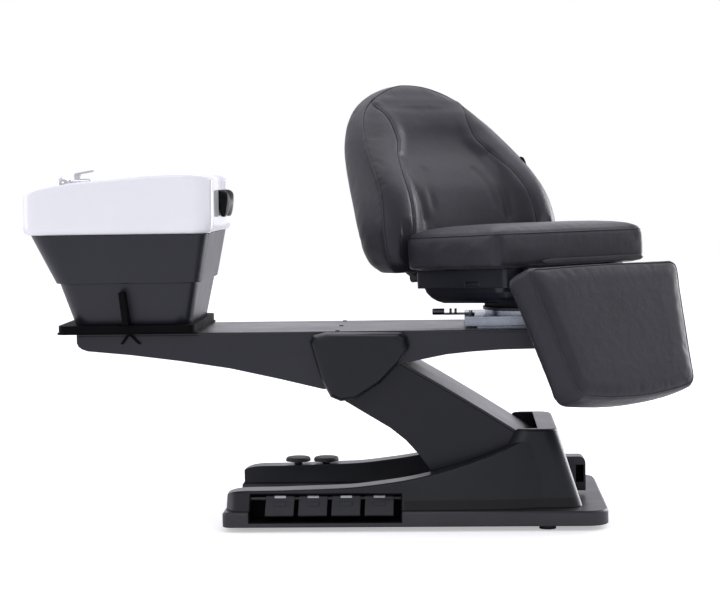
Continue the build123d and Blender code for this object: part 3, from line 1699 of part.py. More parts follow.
def make_back_cushion():
    rows = zip(
        back_level_shares, back_width_shares, back_front_shares, back_rear_shares, back_hollow_shares,
    )
    body = loft([back_section(*row) for row in rows])
    arm_end = back_arm_inner + back_arm_thickness
    foot_room = block(
        -back_arm_low_x - 2 * back_bar_depth, -recline_x + lug_radius + soft_gap,
        back_arm_inner - soft_gap, arm_end + soft_gap,
        back_low - overrun, back_arm_low_z + back_bar_depth + soft_gap,
    )
    return seat_place(body - back_steel(soft_gap) - both_sides(foot_room))


def make_back_tab():
    """Small pull tab in the seam on the far side of the backrest."""
    share = (tab_level - back_low) / back_height
    place = 5
    half = back_half_width * (back_width_shares[place] + back_width_shares[place - 1]) / 2
    middle = -back_front - back_depth * (back_front_shares[place] + back_rear_shares[place] / 2) * share
    return seat_place(block(
        middle - tab_length / 2, middle + tab_length / 2, half, half + tab_thickness,
        tab_level - tab_half_height, tab_level + tab_half_height,
    ))


# Legrest

leg_lean = 21
leg_reach = 127
leg_top_rise = 6
leg_length = 388
leg_side_inset = 1
leg_thickness = 106
leg_corner = 30
leg_level_shares = [0, 0.04, 0.15, 0.5, 0.85, 0.95, 1]
leg_width_shares = [0.94, 0.985, 1, 0.92, 0.84, 0.77, 0.62]
leg_depth_shares = [0.8, 0.94, 1, 1, 0.98, 0.86, 0.6]
leg_plate_thickness = 6
leg_plate_half_width = 190
leg_plate_start = 26
leg_plate_end = 330
leg_top_x = seat_front + leg_reach
leg_top_z = seat_base + leg_top_rise
leg_half_width = seat_half_width - leg_side_inset


def leg_plane(down):
    """Plane square to the legrest, at a distance down from its top."""
    lean = radians(leg_lean)
    way = Vector(sin(lean), 0, -cos(lean))
    rearwards = Vector(-cos(lean), 0, -sin(lean))
    origin = Vector(leg_top_x, 0, leg_top_z) + way * down + rearwards * (leg_thickness / 2)
    return Plane(origin=origin, x_dir=rearwards, z_dir=way)


def make_legrest_cushion():
    sections = []
    for level, width, depth in zip(leg_level_shares, leg_width_shares, leg_depth_shares):
        half = width * leg_half_width
        face = RectangleRounded(depth * leg_thickness, 2 * half, leg_corner)
        sections.append(leg_plane(level * leg_length) * face)
    return seat_place(loft(sections, ruled=True))


def make_legrest_frame():
    """Plate behind the legrest cushion, hung on two lugs."""
    lean = radians(leg_lean)
    rear = leg_thickness / 2 + soft_gap
    board = leg_plane(leg_plate_start) * Pos(rear + leg_plate_thickness / 2, 0, 0) * Box(
        leg_plate_thickness, 2 * leg_plate_half_width, leg_plate_end - leg_plate_start,
        align=(Align.CENTER, Align.CENTER, Align.MIN),
    )
    top_x = leg_top_x + leg_plate_start * sin(lean) - (leg_thickness + soft_gap) * cos(lean)
    top_z = leg_top_z - leg_plate_start * cos(lean) - (leg_thickness + soft_gap) * sin(lean)
    lug_low = leg_lug_inner + leg_lug_thickness + soft_gap
    lug_high = lug_low + leg_lug_thickness
    step_x = leg_plate_start * sin(lean)
    step_z = leg_plate_start * cos(lean)
    outline = [
        (legrest_hinge_x - leg_lug_radius, legrest_hinge_z),
        (legrest_hinge_x + leg_lug_radius, legrest_hinge_z),
        (top_x, top_z), (top_x + step_x, top_z - step_z),
        (top_x + step_x - leg_plate_thickness * cos(lean), top_z - step_z - leg_plate_thickness * sin(lean)),
    ]
    lug = plate(flat(outline), lug_low, lug_high)
    lug += rod_y(legrest_hinge_x, legrest_hinge_z, lug_low, lug_high, leg_lug_radius)
    frame = board + both_sides(lug)
    bore = leg_pin_radius + bore_gap
    frame -= rod_y(legrest_hinge_x, legrest_hinge_z, -lug_high - overrun, lug_high + overrun, bore)
    return seat_place(frame)


# All pieces by name

parts = {
    "chassis": make_chassis(),
    "base_skirt": make_skirt(),
    "base_cover": make_base_cover(),
    "pedal_bay": make_bay_liner(),
    "pedal_shaft": make_pedal_shaft(),
    "inlet_housing": make_inlet_housing(),
    "inlet_socket": make_inlet_socket(),
    "control_box": make_control_box(),
    "main_shaft": make_main_shaft(),
    "link_base_pin": make_link_base_pin(),
    "arm_frame": make_arm_frame(),
    "arm_bush_near": make_bush(-1),
    "arm_bush_far": make_bush(1),
    "arm_cover": make_arm_cover(),
    "arm_lid": make_arm_lid(),
    "parallel_link": make_parallel_link(),
    "actuator_tube": make_actuator_tube(),
    "actuator_rod": make_actuator_rod(),
    "beam_frame": make_beam_frame(),
    "beam_cover": make_beam_cover(),
    "beam_lid": make_beam_lid(),
    "beam_pin": make_beam_pin(),
    "link_beam_pin": make_link_beam_pin(),
    "hinge_cover_near": make_hinge_cover(-1),
    "hinge_cover_far": make_hinge_cover(1),
    "basin_tray": make_tray(),
    "basin_shell": make_basin_shell(),
    "basin": make_basin(),
    "neck_rest": make_neck_rest(),
    "drain": make_drain(),
    "faucet_body": make_faucet_body(),
    "faucet_lever": make_faucet_lever(),
    "grip_bar": make_grip_bar(),
    "forked_stay": make_forked_stay(),
    "slide_base": make_slide_base(),
    "carriage": make_carriage(),
    "swivel_race": make_swivel_race(),
    "lock_lever": make_lock_lever(),
    "seat_frame": make_seat_frame(),
    "seat_housing": make_seat_housing(),
    "seat_cushion": make_seat_cushion(),
    "seat_flap": make_seat_flap(),
    "back_frame": make_back_frame(),
    "back_cushion": make_back_cushion(),
    "back_tab": make_back_tab(),
    "legrest_frame": make_legrest_frame(),
    "legrest_cushion": make_legrest_cushion(),
}
for index, (x, y) in enumerate(foot_places, start=1):
    parts[f"foot_{index}"] = make_foot(x, y)
for index in range(pedal_count):
    parts[f"pedal_{index + 1}"] = make_pedal(-pedal_first + index * pedal_pitch)
for index, x in enumerate(button_places, start=1):
    parts[f"foot_button_{index}"] = make_button(x)

os.makedirs("parts", exist_ok=True)
for name, shape in parts.items():
    export_step(shape, f"parts/{name}.step")
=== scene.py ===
# %% [markdown]
# # Hair washing bed
# The bed has one beam with a ceramic basin at its left end and an upholstered seat
# on a swivel at its right end. A parallelogram arm lifts the beam from a U shaped
# base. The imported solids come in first, because they fix every place and size.
# Everything soft, and the glazed basin, is then worked out again as a surface, and
# every solid that stays gets a finish made of nodes.

# %% Load the frame
import bpy
import numpy as np
from mathutils import Matrix, Vector
from mathutils.bvhtree import BVHTree


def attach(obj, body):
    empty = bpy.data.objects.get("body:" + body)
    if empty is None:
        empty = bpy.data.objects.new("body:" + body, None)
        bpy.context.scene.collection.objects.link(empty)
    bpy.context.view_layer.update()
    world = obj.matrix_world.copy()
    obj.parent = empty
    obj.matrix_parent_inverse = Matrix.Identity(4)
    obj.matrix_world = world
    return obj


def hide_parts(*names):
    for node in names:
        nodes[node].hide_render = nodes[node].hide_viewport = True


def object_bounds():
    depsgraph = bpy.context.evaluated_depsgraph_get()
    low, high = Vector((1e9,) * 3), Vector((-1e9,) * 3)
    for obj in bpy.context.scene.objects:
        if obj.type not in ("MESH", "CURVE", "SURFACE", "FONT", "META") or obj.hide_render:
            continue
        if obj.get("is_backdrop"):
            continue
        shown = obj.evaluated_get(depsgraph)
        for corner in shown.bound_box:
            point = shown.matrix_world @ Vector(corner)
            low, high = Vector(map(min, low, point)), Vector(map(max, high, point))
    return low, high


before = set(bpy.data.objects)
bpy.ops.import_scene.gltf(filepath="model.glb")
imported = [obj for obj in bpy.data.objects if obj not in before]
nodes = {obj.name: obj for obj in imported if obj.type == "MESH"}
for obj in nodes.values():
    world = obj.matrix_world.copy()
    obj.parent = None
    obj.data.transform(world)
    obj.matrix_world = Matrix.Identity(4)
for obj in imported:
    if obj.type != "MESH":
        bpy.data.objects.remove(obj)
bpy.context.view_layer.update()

scene = bpy.context.scene

# %% [markdown]
# ## Camera
# The bed is seen from its side, a little above the beam, through a long lens. A camera
# can be aimed by eye, but then few edges fall in their right places. This one's place,
# turns and lens were worked out from the bed's own corners. Yaw, pitch and roll give
# the view's three directions, and these are the columns of the camera's matrix.

# %% Place the camera
camera_place = (0.134908, -5.383627, 0.963662)
yaw, pitch, roll = np.radians([-2.95, 3.763, -0.861])
forward = np.array([np.sin(yaw) * np.cos(pitch), np.cos(yaw) * np.cos(pitch), -np.sin(pitch)])
level = np.array([np.cos(yaw), -np.sin(yaw), 0])
upright = np.cross(level, forward)
right = np.cos(roll) * level + np.sin(roll) * upright
upward = np.cos(roll) * upright - np.sin(roll) * level
pose = np.identity(4)
pose[:3, :3] = np.stack([right, upward, -forward], axis=1)
pose[:3, 3] = camera_place
camera = bpy.data.objects.new("camera", bpy.data.cameras.new("camera"))
scene.collection.objects.link(camera)
camera.matrix_world = Matrix(pose.tolist())
camera.data.lens = 94.67
camera.data.sensor_width = 36
bpy.context.scene.camera = camera
print("camera height", round(camera_place[2], 3), "lens", camera.data.lens)

# %% [markdown]
# ## Nodes in one line
# A shader tree is many small nodes with values and links. Written out one by one they
# hide what the tree does, so a helper makes a node and fills its sockets together.

# %% Helpers for node trees
def add_node(tree, kind, sockets=(), **settings):
    """New shader node. Each socket gets a value, or a link where it is given an output."""
    node = tree.nodes.new("ShaderNode" + kind)
    for name, value in settings.items():
        setattr(node, name, value)
    for name, value in dict(sockets).items():
        if isinstance(value, bpy.types.NodeSocket):
            tree.links.new(value, node.inputs[name])
        else:
            node.inputs[name].default_value = value
    return node


def work_out(tree, operation, *values):
    """Result of a Math node for numbers or outputs."""
    return add_node(tree, "Math", dict(enumerate(values)), operation=operation).outputs[0]


def map_range(tree, value, start, end, low=0.0, high=1.0):
    """Runs from low to high as the value goes from start to end, and is held outside."""
    ends = {"From Min": start, "From Max": end, "To Min": low, "To Max": high}
    return add_node(tree, "MapRange", {"Value": value, **ends}).outputs["Result"]


def mix_colours(tree, share, first, second):
    """Colour that goes from the first to the second as the share goes from 0 to 1."""
    sockets = {"Factor": share, 6: first, 7: second}
    return add_node(tree, "Mix", sockets, data_type="RGBA").outputs[2]


print("node helpers ready")

# %% [markdown]
# ## Light and room
# The bed stands in a pale studio. Lamps alone could light it, but dark plastic shows
# mostly what it reflects, so the room matters more. The world is white where the camera
# sees it and a little cooler and dimmer where it lights. In reflections it grows
# brighter towards the far side, so a face turned to the camera looks darkest.

# %% World
scene.view_settings.view_transform = "Standard"
room_level = 0.87
cool_white = (0.935, 0.925, 1, 1)
plain_white = (1, 1, 1, 1)
world = bpy.data.worlds.new("studio")
scene.world = world
world.use_nodes = True
tree = world.node_tree
background = tree.nodes["Background"]
path = add_node(tree, "LightPath").outputs
way = add_node(tree, "TexCoord").outputs["Generated"]
across_room = add_node(tree, "SeparateXYZ", {0: way}).outputs["Y"]
far_side = map_range(tree, across_room, -0.6, 0.8, -0.2, 0.3)
lit = work_out(tree, "MULTIPLY_ADD", path["Is Glossy Ray"], far_side, room_level)
seen = work_out(tree, "MAXIMUM", path["Is Camera Ray"], path["Is Transmission Ray"])
strength = work_out(tree, "MAXIMUM", seen, lit)
tree.links.new(strength, background.inputs["Strength"])
room_colour = mix_colours(tree, path["Is Camera Ray"], cool_white, plain_white)
tree.links.new(room_colour, background.inputs["Color"])
print("world level", room_level)

# %% [markdown]
# The lamp above gives the tops their sheen, the one in front fills, the strong one
# behind on the right makes the right-hand faces pale, and the faint one on the left
# lights the basin's end. Small lamps would leave hard spots on leather and glaze, so
# all four are wide.

# %% Lamps
def lamp(name, place, target, width, height, power):
    """Rectangular lamp at a place, turned to a target, in metres and watts."""
    data = bpy.data.lights.new(name, "AREA")
    data.shape = "RECTANGLE"
    data.size = width
    data.size_y = height
    data.energy = power
    data.color = (0.97, 0.96, 1)
    light = bpy.data.objects.new(name, data)
    scene.collection.objects.link(light)
    light.location = place
    light.rotation_euler = (Vector(target) - Vector(place)).to_track_quat("-Z", "Y").to_euler()


lamp("lamp_above", (0.1, 0.6, 3.1), (0.1, 0.0, 0.6), 3.6, 2.4, 27)
lamp("lamp_front", (-2.2, -4.2, 2.8), (0.0, 0.0, 0.6), 2.2, 1.6, 20)
lamp("lamp_right", (2.9, 2.6, 1.1), (-0.4, 0.0, 0.55), 1.8, 2.4, 85)
lamp("lamp_left", (-3.4, 0.4, 1.2), (-0.6, 0.0, 0.6), 1.2, 2.0, 8)

# %% [markdown]
# The floor is one large square of pale paint. To the camera it also glows a little, so
# that it runs into the white room without an edge, while the bed's soft shadow stays.

# %% Floor
def make_mesh(name, points, faces):
    """Mesh from an array of points and lists of faces, shaded smooth."""
    mesh = bpy.data.meshes.new(name)
    mesh.from_pydata(np.asarray(points, float).reshape(-1, 3).tolist(), [], [list(f) for f in faces])
    mesh.validate()
    mesh.polygons.foreach_set("use_smooth", np.ones(len(mesh.polygons), bool))
    piece = bpy.data.objects.new(name, mesh)
    scene.collection.objects.link(piece)
    return piece


reach = 14
floor_glow = 0.42
floor_corners = [(-reach, -reach, 0), (reach, -reach, 0), (reach, reach, 0), (-reach, reach, 0)]
floor = make_mesh("floor", floor_corners, [(0, 1, 2, 3)])
floor_white = bpy.data.materials.new("floor_white")
floor_white.use_nodes = True
tree = floor_white.node_tree
shader = tree.nodes["Principled BSDF"]
shader.inputs["Base Color"].default_value = (0.93, 0.93, 0.93, 1)
shader.inputs["Roughness"].default_value = 0.9
shader.inputs["Emission Color"].default_value = plain_white
path = add_node(tree, "LightPath").outputs
glow = work_out(tree, "MULTIPLY", path["Is Camera Ray"], floor_glow)
tree.links.new(glow, shader.inputs["Emission Strength"])
floor.data.materials.append(floor_white)
floor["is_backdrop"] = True
print("floor reaches", reach, "m")

# %% [markdown]
# ## Finishes
# A single flat colour never looks like a real surface. Every finish here has a colour
# and a roughness that vary a little together, and nearly all have a fine relief. A Bevel
# node softens the solids' edges, because their meshes stay as they are. All patterns
# read Object coordinates, so they move with their piece.

# %% Colour, roughness and soft edges
def finish(name, dark, pale, rough, patch=6.0, metal=0.0, edge=0.0, specular=0.5):
    """Finish between two colours and two roughnesses that follow a soft noise whose
    patches repeat about patch times per metre; edge is the soft edge's radius."""
    material = bpy.data.materials.new(name)
    material.use_nodes = True
    tree = material.node_tree
    shader = tree.nodes["Principled BSDF"]
    place = add_node(tree, "TexCoord").outputs["Object"]
    cloud = {"Vector": place, "Scale": patch, "Detail": 6, "Roughness": 0.6}
    noise = add_node(tree, "TexNoise", cloud).outputs["Fac"]
    ramp = add_node(tree, "ValToRGB", {"Fac": noise})
    for number, (stop, colour) in enumerate(((0.36, dark), (0.66, pale))):
        ramp.color_ramp.elements[number].position = stop
        ramp.color_ramp.elements[number].color = (*colour, 1)
    tree.links.new(ramp.outputs["Color"], shader.inputs["Base Color"])
    tree.links.new(map_range(tree, noise, 0.3, 0.7, *rough), shader.inputs["Roughness"])
    shader.inputs["Metallic"].default_value = metal
    shader.inputs["Specular IOR Level"].default_value = specular
    if edge:
        soft = add_node(tree, "Bevel", {"Radius": edge}, samples=6)
        tree.links.new(soft.outputs["Normal"], shader.inputs["Normal"])
    return material


print("finish helper ready")

# %% [markdown]
# Pebbled leather and textured lids show the walls between small cells. Moulded and
# painted faces are a plain noise, and a brushed metal is the same noise drawn out into
# lines by scaling its coordinates unevenly.

# %% Relief, second colours and where they go
def relief(material, kind, scale, depth, strength, stretch=(1, 1, 1)):
    """Fine relief over what the normal already has. Kind cells is the distance to the
    walls of Voronoi cells. Kind grain is a noise, and a stretch draws it into lines."""
    tree = material.node_tree
    normal = tree.nodes["Principled BSDF"].inputs["Normal"]
    place = add_node(tree, "TexCoord").outputs["Object"]
    drawn = add_node(tree, "Mapping", {"Vector": place, "Scale": stretch}).outputs["Vector"]
    sockets = {"Vector": drawn, "Scale": scale}
    if kind == "cells":
        height = add_node(tree, "TexVoronoi", sockets, feature="DISTANCE_TO_EDGE").outputs["Distance"]
    else:
        height = add_node(tree, "TexNoise", {**sockets, "Detail": 4}).outputs["Fac"]
    bump = add_node(tree, "Bump", {"Height": height, "Distance": depth, "Strength": strength})
    if normal.links:
        tree.links.new(normal.links[0].from_socket, bump.inputs["Normal"])
    tree.links.new(bump.outputs["Normal"], normal)


def object_axes(material):
    """The X, Y and Z of a material's points, as outputs."""
    tree = material.node_tree
    place = add_node(tree, "TexCoord").outputs["Object"]
    return add_node(tree, "SeparateXYZ", {0: place}).outputs


def paint_over(material, mask, colour):
    """A second colour where the mask is 1, over the finish's own colour."""
    tree = material.node_tree
    base = tree.nodes["Principled BSDF"].inputs["Base Color"]
    tree.links.new(mix_colours(tree, mask, base.links[0].from_socket, (*colour, 1)), base)


def cover(material, *names):
    """Puts a finish on solids that stay as they are."""
    for name in names:
        slots = nodes[name].data.materials
        if len(slots) == 0:
            slots.append(material)
        for index in range(len(slots)):
            slots[index] = material
    print(material.name, "on", ", ".join(names))


print("relief helpers ready")

# %% [markdown]
# ### Leather
# Coated leather is nearly black with a touch of blue. Its pebble grain is a relief of
# cells under two millimetres wide, the soft waves where it is pulled over the foam are a
# slow noise, and a little sheen lifts grazing views. Piping has a finer grain.

# %% Leather, piping and thread
leather = finish(
    "leather", (0.0118, 0.0114, 0.0165), (0.0175, 0.017, 0.0245), (0.36, 0.46), patch=9, specular=0.42,
)
relief(leather, "grain", 38, 0.0016, 0.5)
relief(leather, "cells", 720, 0.0005, 0.5)
shader = leather.node_tree.nodes["Principled BSDF"]
shader.inputs["Sheen Weight"].default_value = 0.06
shader.inputs["Sheen Roughness"].default_value = 0.4
leather_edge = finish(
    "leather_edge", (0.011, 0.0107, 0.0155), (0.0185, 0.018, 0.0255), (0.3, 0.42), patch=30,
)
relief(leather_edge, "grain", 300, 0.0004, 0.6)
thread = finish("thread", (0.03, 0.03, 0.034), (0.05, 0.05, 0.055), (0.5, 0.6), patch=200)
relief(thread, "grain", 900, 0.0002, 0.5, stretch=(1, 4, 1))
print("made", leather.name, leather_edge.name, thread.name)

# %% [markdown]
# ### Moulded covers
# The covers are moulded in a blue-black plastic with a satin spark texture: its relief
# is far below a millimetre, so it only spreads the highlights. Pieces low on the bed get
# less light, so they take a darker copy of the plastic as painted shade, and they shine
# less than those on the beam. The base skirt is made greyer as a painted reflection of
# the pale floor, and the flat lids have a coarser texture against scratches.

# %% Moulded covers
dark_plastic = finish("dark_plastic", (0.006, 0.007, 0.013), (0.009, 0.01, 0.017), (0.3, 0.38), edge=0.004)
relief(dark_plastic, "grain", 900, 0.0002, 0.25)
lid_plastic = finish("lid_plastic", (0.012, 0.0125, 0.015), (0.016, 0.0165, 0.02), (0.3, 0.4), edge=0.002)
relief(lid_plastic, "cells", 500, 0.0003, 0.3)
# painted shade: a darker copy of the cover plastic for pieces that get less light low down
low_plastic_painted_shade = finish(
    "low_plastic_painted_shade", (0.006, 0.007, 0.01), (0.0085, 0.0095, 0.0125), (0.3, 0.38), edge=0.004, specular=0.34,
)
relief(low_plastic_painted_shade, "grain", 900, 0.0002, 0.25)
# painted reflection: the skirt is greyer to stand in for the pale floor that it reflects
skirt_plastic_painted_reflection = finish(
    "skirt_plastic_painted_reflection", (0.019, 0.02, 0.025), (0.026, 0.027, 0.033), (0.34, 0.46), edge=0.004,
)
relief(skirt_plastic_painted_reflection, "grain", 700, 0.0003, 0.3)
cover(dark_plastic, "beam_cover", "inlet_housing", "seat_housing", "basin_shell")
cover(lid_plastic, "arm_lid", "beam_lid")
cover(low_plastic_painted_shade, "arm_cover", "hinge_cover_near", "hinge_cover_far")
cover(skirt_plastic_painted_reflection, "base_skirt")

# %% [markdown]
# ### Base cover
# Under the hump the base's cover ends in a low band that lies in shade and looks almost
# black. It is one face with the cover, so this shade is painted: the finish itself turns
# black below a height and right of a line, within two millimetres.

# %% Base cover
shade_band_top = (0.0805, 0.0795)
shade_band_end = (-0.016, -0.014)
cover_plastic = finish(
    "cover_plastic", (0.0085, 0.0095, 0.013), (0.012, 0.013, 0.017), (0.3, 0.38), edge=0.005, specular=0.34,
)
relief(cover_plastic, "grain", 900, 0.0002, 0.25)
tree = cover_plastic.node_tree
axes = object_axes(cover_plastic)
below = map_range(tree, axes["Z"], *shade_band_top)
beyond = map_range(tree, axes["X"], *shade_band_end)
# painted shade: the band under the hump is coloured near black
paint_over(cover_plastic, work_out(tree, "MULTIPLY", below, beyond), (0.003, 0.003, 0.004))
cover(cover_plastic, "base_cover")

# %% [markdown]
# ### Pedals
# Each pedal has a plain pale strip at its top edge. It has no thickness, so a mask
# colours it instead of a plate. Counted in pitches and folded, the run along the pedals
# is the distance to the nearest one's middle, and the strip is where that is small.

# %% Pedals
first_strip_x = -0.355
pedal_pitch = 0.0905
strip_share = 0.17
strip_foot = 0.0865
pedal_plastic = finish(
    "pedal_plastic", (0.008, 0.009, 0.012), (0.012, 0.013, 0.016), (0.46, 0.58), patch=20, edge=0.003,
)
relief(pedal_plastic, "grain", 420, 0.0005, 0.4)
tree = pedal_plastic.node_tree
axes = object_axes(pedal_plastic)
pitches = work_out(tree, "DIVIDE", work_out(tree, "SUBTRACT", axes["X"], first_strip_x), pedal_pitch)
middle = work_out(tree, "LESS_THAN", work_out(tree, "PINGPONG", pitches, 0.5), strip_share)
high = work_out(tree, "GREATER_THAN", axes["Z"], strip_foot)
paint_over(pedal_plastic, work_out(tree, "MULTIPLY", middle, high), (0.42, 0.42, 0.45))
cover(pedal_plastic, *[f"pedal_{number}" for number in range(1, 5)])

# %% [markdown]
# ### Black plastic, rubber and paint
# The basin's tray, the stay and the pedals' bay are dull black and reflect very little,
# so their specular level is low. Rubber is rougher than plastic, and the steel frame has
# the slight orange peel of powder coat.

# %% Black plastic, rubber and paint
black_plastic = finish(
    "black_plastic", (0.002, 0.002, 0.003), (0.0035, 0.0035, 0.0045), (0.55, 0.68), patch=14,
    edge=0.0015, specular=0.06,
)
relief(black_plastic, "grain", 600, 0.0003, 0.3)
rubber = finish("rubber", (0.008, 0.008, 0.009), (0.014, 0.014, 0.015), (0.5, 0.7), patch=25, edge=0.002)
relief(rubber, "grain", 350, 0.0005, 0.5)
frame_paint = finish(
    "frame_paint", (0.012, 0.012, 0.014), (0.018, 0.018, 0.021), (0.35, 0.5), patch=12, edge=0.0015,
)
relief(frame_paint, "grain", 260, 0.0004, 0.35)
cover(black_plastic, "pedal_bay", "inlet_socket", "control_box", "basin_tray", "grip_bar", "forked_stay")
cover(rubber, *[f"foot_{number}" for number in range(1, 5)], "foot_button_1", "foot_button_2")
cover(frame_paint, "pedal_shaft", "chassis", "arm_frame", "beam_frame")
cover(frame_paint, "back_frame", "legrest_frame", "seat_frame")

# %% [markdown]
# ### Metals
# A metal shows only tinted reflections, so these finishes differ in tint and roughness.
# Zinc plate is cool and cloudy, ground steel and the bushes' bronze have lines, the lock
# lever is darkened steel, and the mixer is polished chrome.

# %% Metals
zinc = finish("zinc", (0.3, 0.33, 0.38), (0.42, 0.45, 0.5), (0.22, 0.34), 30, metal=1.0, edge=0.001)
relief(zinc, "grain", 24, 0.0001, 0.02, stretch=(1, 6, 6))
dark_steel = finish(
    "dark_steel", (0.07, 0.075, 0.085), (0.13, 0.135, 0.145), (0.26, 0.38), 60, metal=1.0, edge=0.001,
)
steel = finish("steel", (0.42, 0.43, 0.45), (0.56, 0.57, 0.59), (0.2, 0.32), 60, metal=1.0, edge=0.001)
relief(steel, "grain", 90, 0.0002, 0.3, stretch=(14, 1, 14))
bronze = finish("bronze", (0.36, 0.24, 0.1), (0.5, 0.36, 0.17), (0.26, 0.4), 70, metal=1.0, edge=0.0008)
relief(bronze, "grain", 120, 0.0001, 0.3, stretch=(14, 1, 1))
chrome = finish("chrome", (0.72, 0.72, 0.74), (0.8, 0.8, 0.82), (0.05, 0.12), 30, metal=1.0, edge=0.001)
relief(chrome, "grain", 40, 0.0001, 0.2)
cover(zinc, "parallel_link", "actuator_tube", "slide_base", "carriage", "swivel_race")
cover(dark_steel, "lock_lever")
cover(steel, "main_shaft", "link_base_pin", "beam_pin", "link_beam_pin", "actuator_rod")
cover(bronze, "arm_bush_near", "arm_bush_far")
cover(chrome, "drain", "faucet_body", "faucet_lever")

# %% [markdown]
# ### Glaze
# The basin's glaze is smooth, with a clear coat over a cool white body and only the
# faintest waviness. Its white stays below full strength, or every face would burn out
# and the bowl would lose its form.

# %% Glaze
glaze = finish("glaze", (0.85, 0.855, 0.89), (0.88, 0.885, 0.92), (0.12, 0.17), patch=5)
relief(glaze, "grain", 14, 0.0004, 0.25)
shader = glaze.node_tree.nodes["Principled BSDF"]
shader.inputs["Coat Weight"].default_value = 0.6
shader.inputs["Coat Roughness"].default_value = 0.04
print("made", glaze.name, "with a clear coat")

# %% [markdown]
# ## From grids to closed surfaces
# Every new piece is a stack of rings of points. It could be made from cubes and
# modifiers, but a formula says exactly where each point lies, so the piece fits the
# space of its solid. Numpy works all the points out at once, and these helpers turn the
# rings into a mesh.

# %% Rings, ends and outward faces
def points_of(mesh, attribute="co"):
    """A mesh's points as an array, or its point normals for attribute normal."""
    flat = np.empty(len(mesh.vertices) * 3)
    mesh.vertices.foreach_get(attribute, flat)
    return flat.reshape(-1, 3)


def ring_faces(rows, columns):
    """Quads between neighbouring rows of closed rings."""
    r, c = np.meshgrid(np.arange(rows - 1), np.arange(columns), indexing="ij")
    n = (c + 1) % columns
    quads = np.stack([r * columns + c, r * columns + n, (r + 1) * columns + n, (r + 1) * columns + c], -1)
    return quads.reshape(-1, 4)


def face_outwards(piece):
    """Turns all faces round where the signed volume, the sum of a.(b x c)/6, is negative."""
    mesh = piece.data
    mesh.calc_loop_triangles()
    corners = np.empty(len(mesh.loop_triangles) * 3, int)
    mesh.loop_triangles.foreach_get("vertices", corners)
    a, b, c = (points_of(mesh)[corners.reshape(-1, 3)[:, k]] for k in range(3))
    if np.einsum("ij,ij->i", a, np.cross(b, c)).sum() < 0:
        mesh.flip_normals()
    return piece


def closed_rings(name, rings):
    """Closed surface from rings of points: quads between rings, a fan over each end."""
    rows, columns = rings.shape[:2]
    points = np.concatenate([rings.reshape(-1, 3), rings[[0, -1]].mean(axis=1)])
    c = np.arange(columns)
    n = (c + 1) % columns
    low = np.stack([np.full(columns, rows * columns), n, c], -1)
    last = (rows - 1) * columns
    high = np.stack([np.full(columns, rows * columns + 1), last + c, last + n], -1)
    faces = [*ring_faces(rows, columns).tolist(), *low.tolist(), *high.tolist()]
    print(name, "rings", rows, "points round", columns)
    return face_outwards(make_mesh(name, points, faces))


print("faces between 3 rings of 4 points", len(ring_faces(3, 4)))

# %% [markdown]
# The seat is turned on its swivel, so its pieces are worked out in the seat's own
# directions in millimetres, u forwards, v to its side and z up, and turned at the end.

# %% The seat's directions
mm = 0.001
swivel = np.array([0.325, 0.0])
turn = np.radians(50)


def seat_space(u, v, z):
    """World points from seat points in millimetres: the seat looks 50 degrees to the
    near side, so u and v are turned by that angle about the swivel."""
    u, v, z = np.broadcast_arrays(u, v, z)
    x = swivel[0] + mm * (u * np.cos(turn) + v * np.sin(turn))
    y = swivel[1] + mm * (-u * np.sin(turn) + v * np.cos(turn))
    return np.stack([x, y, mm * z], axis=-1)


print("seat looks along", np.round(seat_space(1000, 0, 0) - seat_space(0, 0, 0), 3))

# %% [markdown]
# ## Upholstery tools
# A cushion starts as a plain closed form, slightly too small. Its mesh is remade with
# even faces, and cloth with air pressure inside swells it, so its faces crown and its
# sides pull in between the corners. A point takes only part of its move, because all of
# it leaves deep wrinkles at the edges.

# %% Swelling
cloth_frames = 20


def set_points(piece, points):
    """Puts an array of points into the piece's mesh."""
    piece.data.vertices.foreach_set("co", np.asarray(points, float).ravel())
    piece.data.update()


def swell(piece, voxel, pressure, cap, share):
    """Even mesh, then cloth pressure for some frames. A point takes a share of its move,
    and at most the cap: move * min(share, cap / length)."""
    remesh = piece.modifiers.new("even", "REMESH")
    remesh.mode = "VOXEL"
    remesh.voxel_size = voxel
    depsgraph = bpy.context.evaluated_depsgraph_get()
    even = bpy.data.meshes.new_from_object(piece.evaluated_get(depsgraph))
    piece.modifiers.clear()
    piece.data = even
    even.polygons.foreach_set("use_smooth", np.ones(len(even.polygons), bool))
    start = points_of(piece.data)
    cloth = piece.modifiers.new("air", "CLOTH")
    cloth.settings.quality = 4
    cloth.settings.use_pressure = True
    cloth.settings.uniform_pressure_force = pressure
    cloth.settings.effector_weights.gravity = 0
    cloth.settings.tension_stiffness = 15
    cloth.settings.bending_stiffness = 0.8
    cloth.point_cache.frame_start = 1
    cloth.point_cache.frame_end = cloth_frames
    for moment in range(1, cloth_frames + 1):
        scene.frame_set(moment)
    depsgraph = bpy.context.evaluated_depsgraph_get()
    puffed = bpy.data.meshes.new_from_object(piece.evaluated_get(depsgraph))
    move = points_of(puffed) - start
    length = np.linalg.norm(move, axis=1, keepdims=True)
    piece.modifiers.clear()
    set_points(piece, start + move * np.minimum(share, cap / np.maximum(length, 1e-9)))
    scene.frame_set(1)
    print(piece.name, "points", len(start), "mean move mm", (length.mean() * 1000).round(1))


print("cloth runs for", cloth_frames, "frames")

# %% [markdown]
# A seam pulls the leather down into the foam. A texture could only shade it, so the
# surface itself is pressed in along the seam's line. The line is first laid on the
# piece, and its normals are averaged, so that it doesn't jump from face to face.

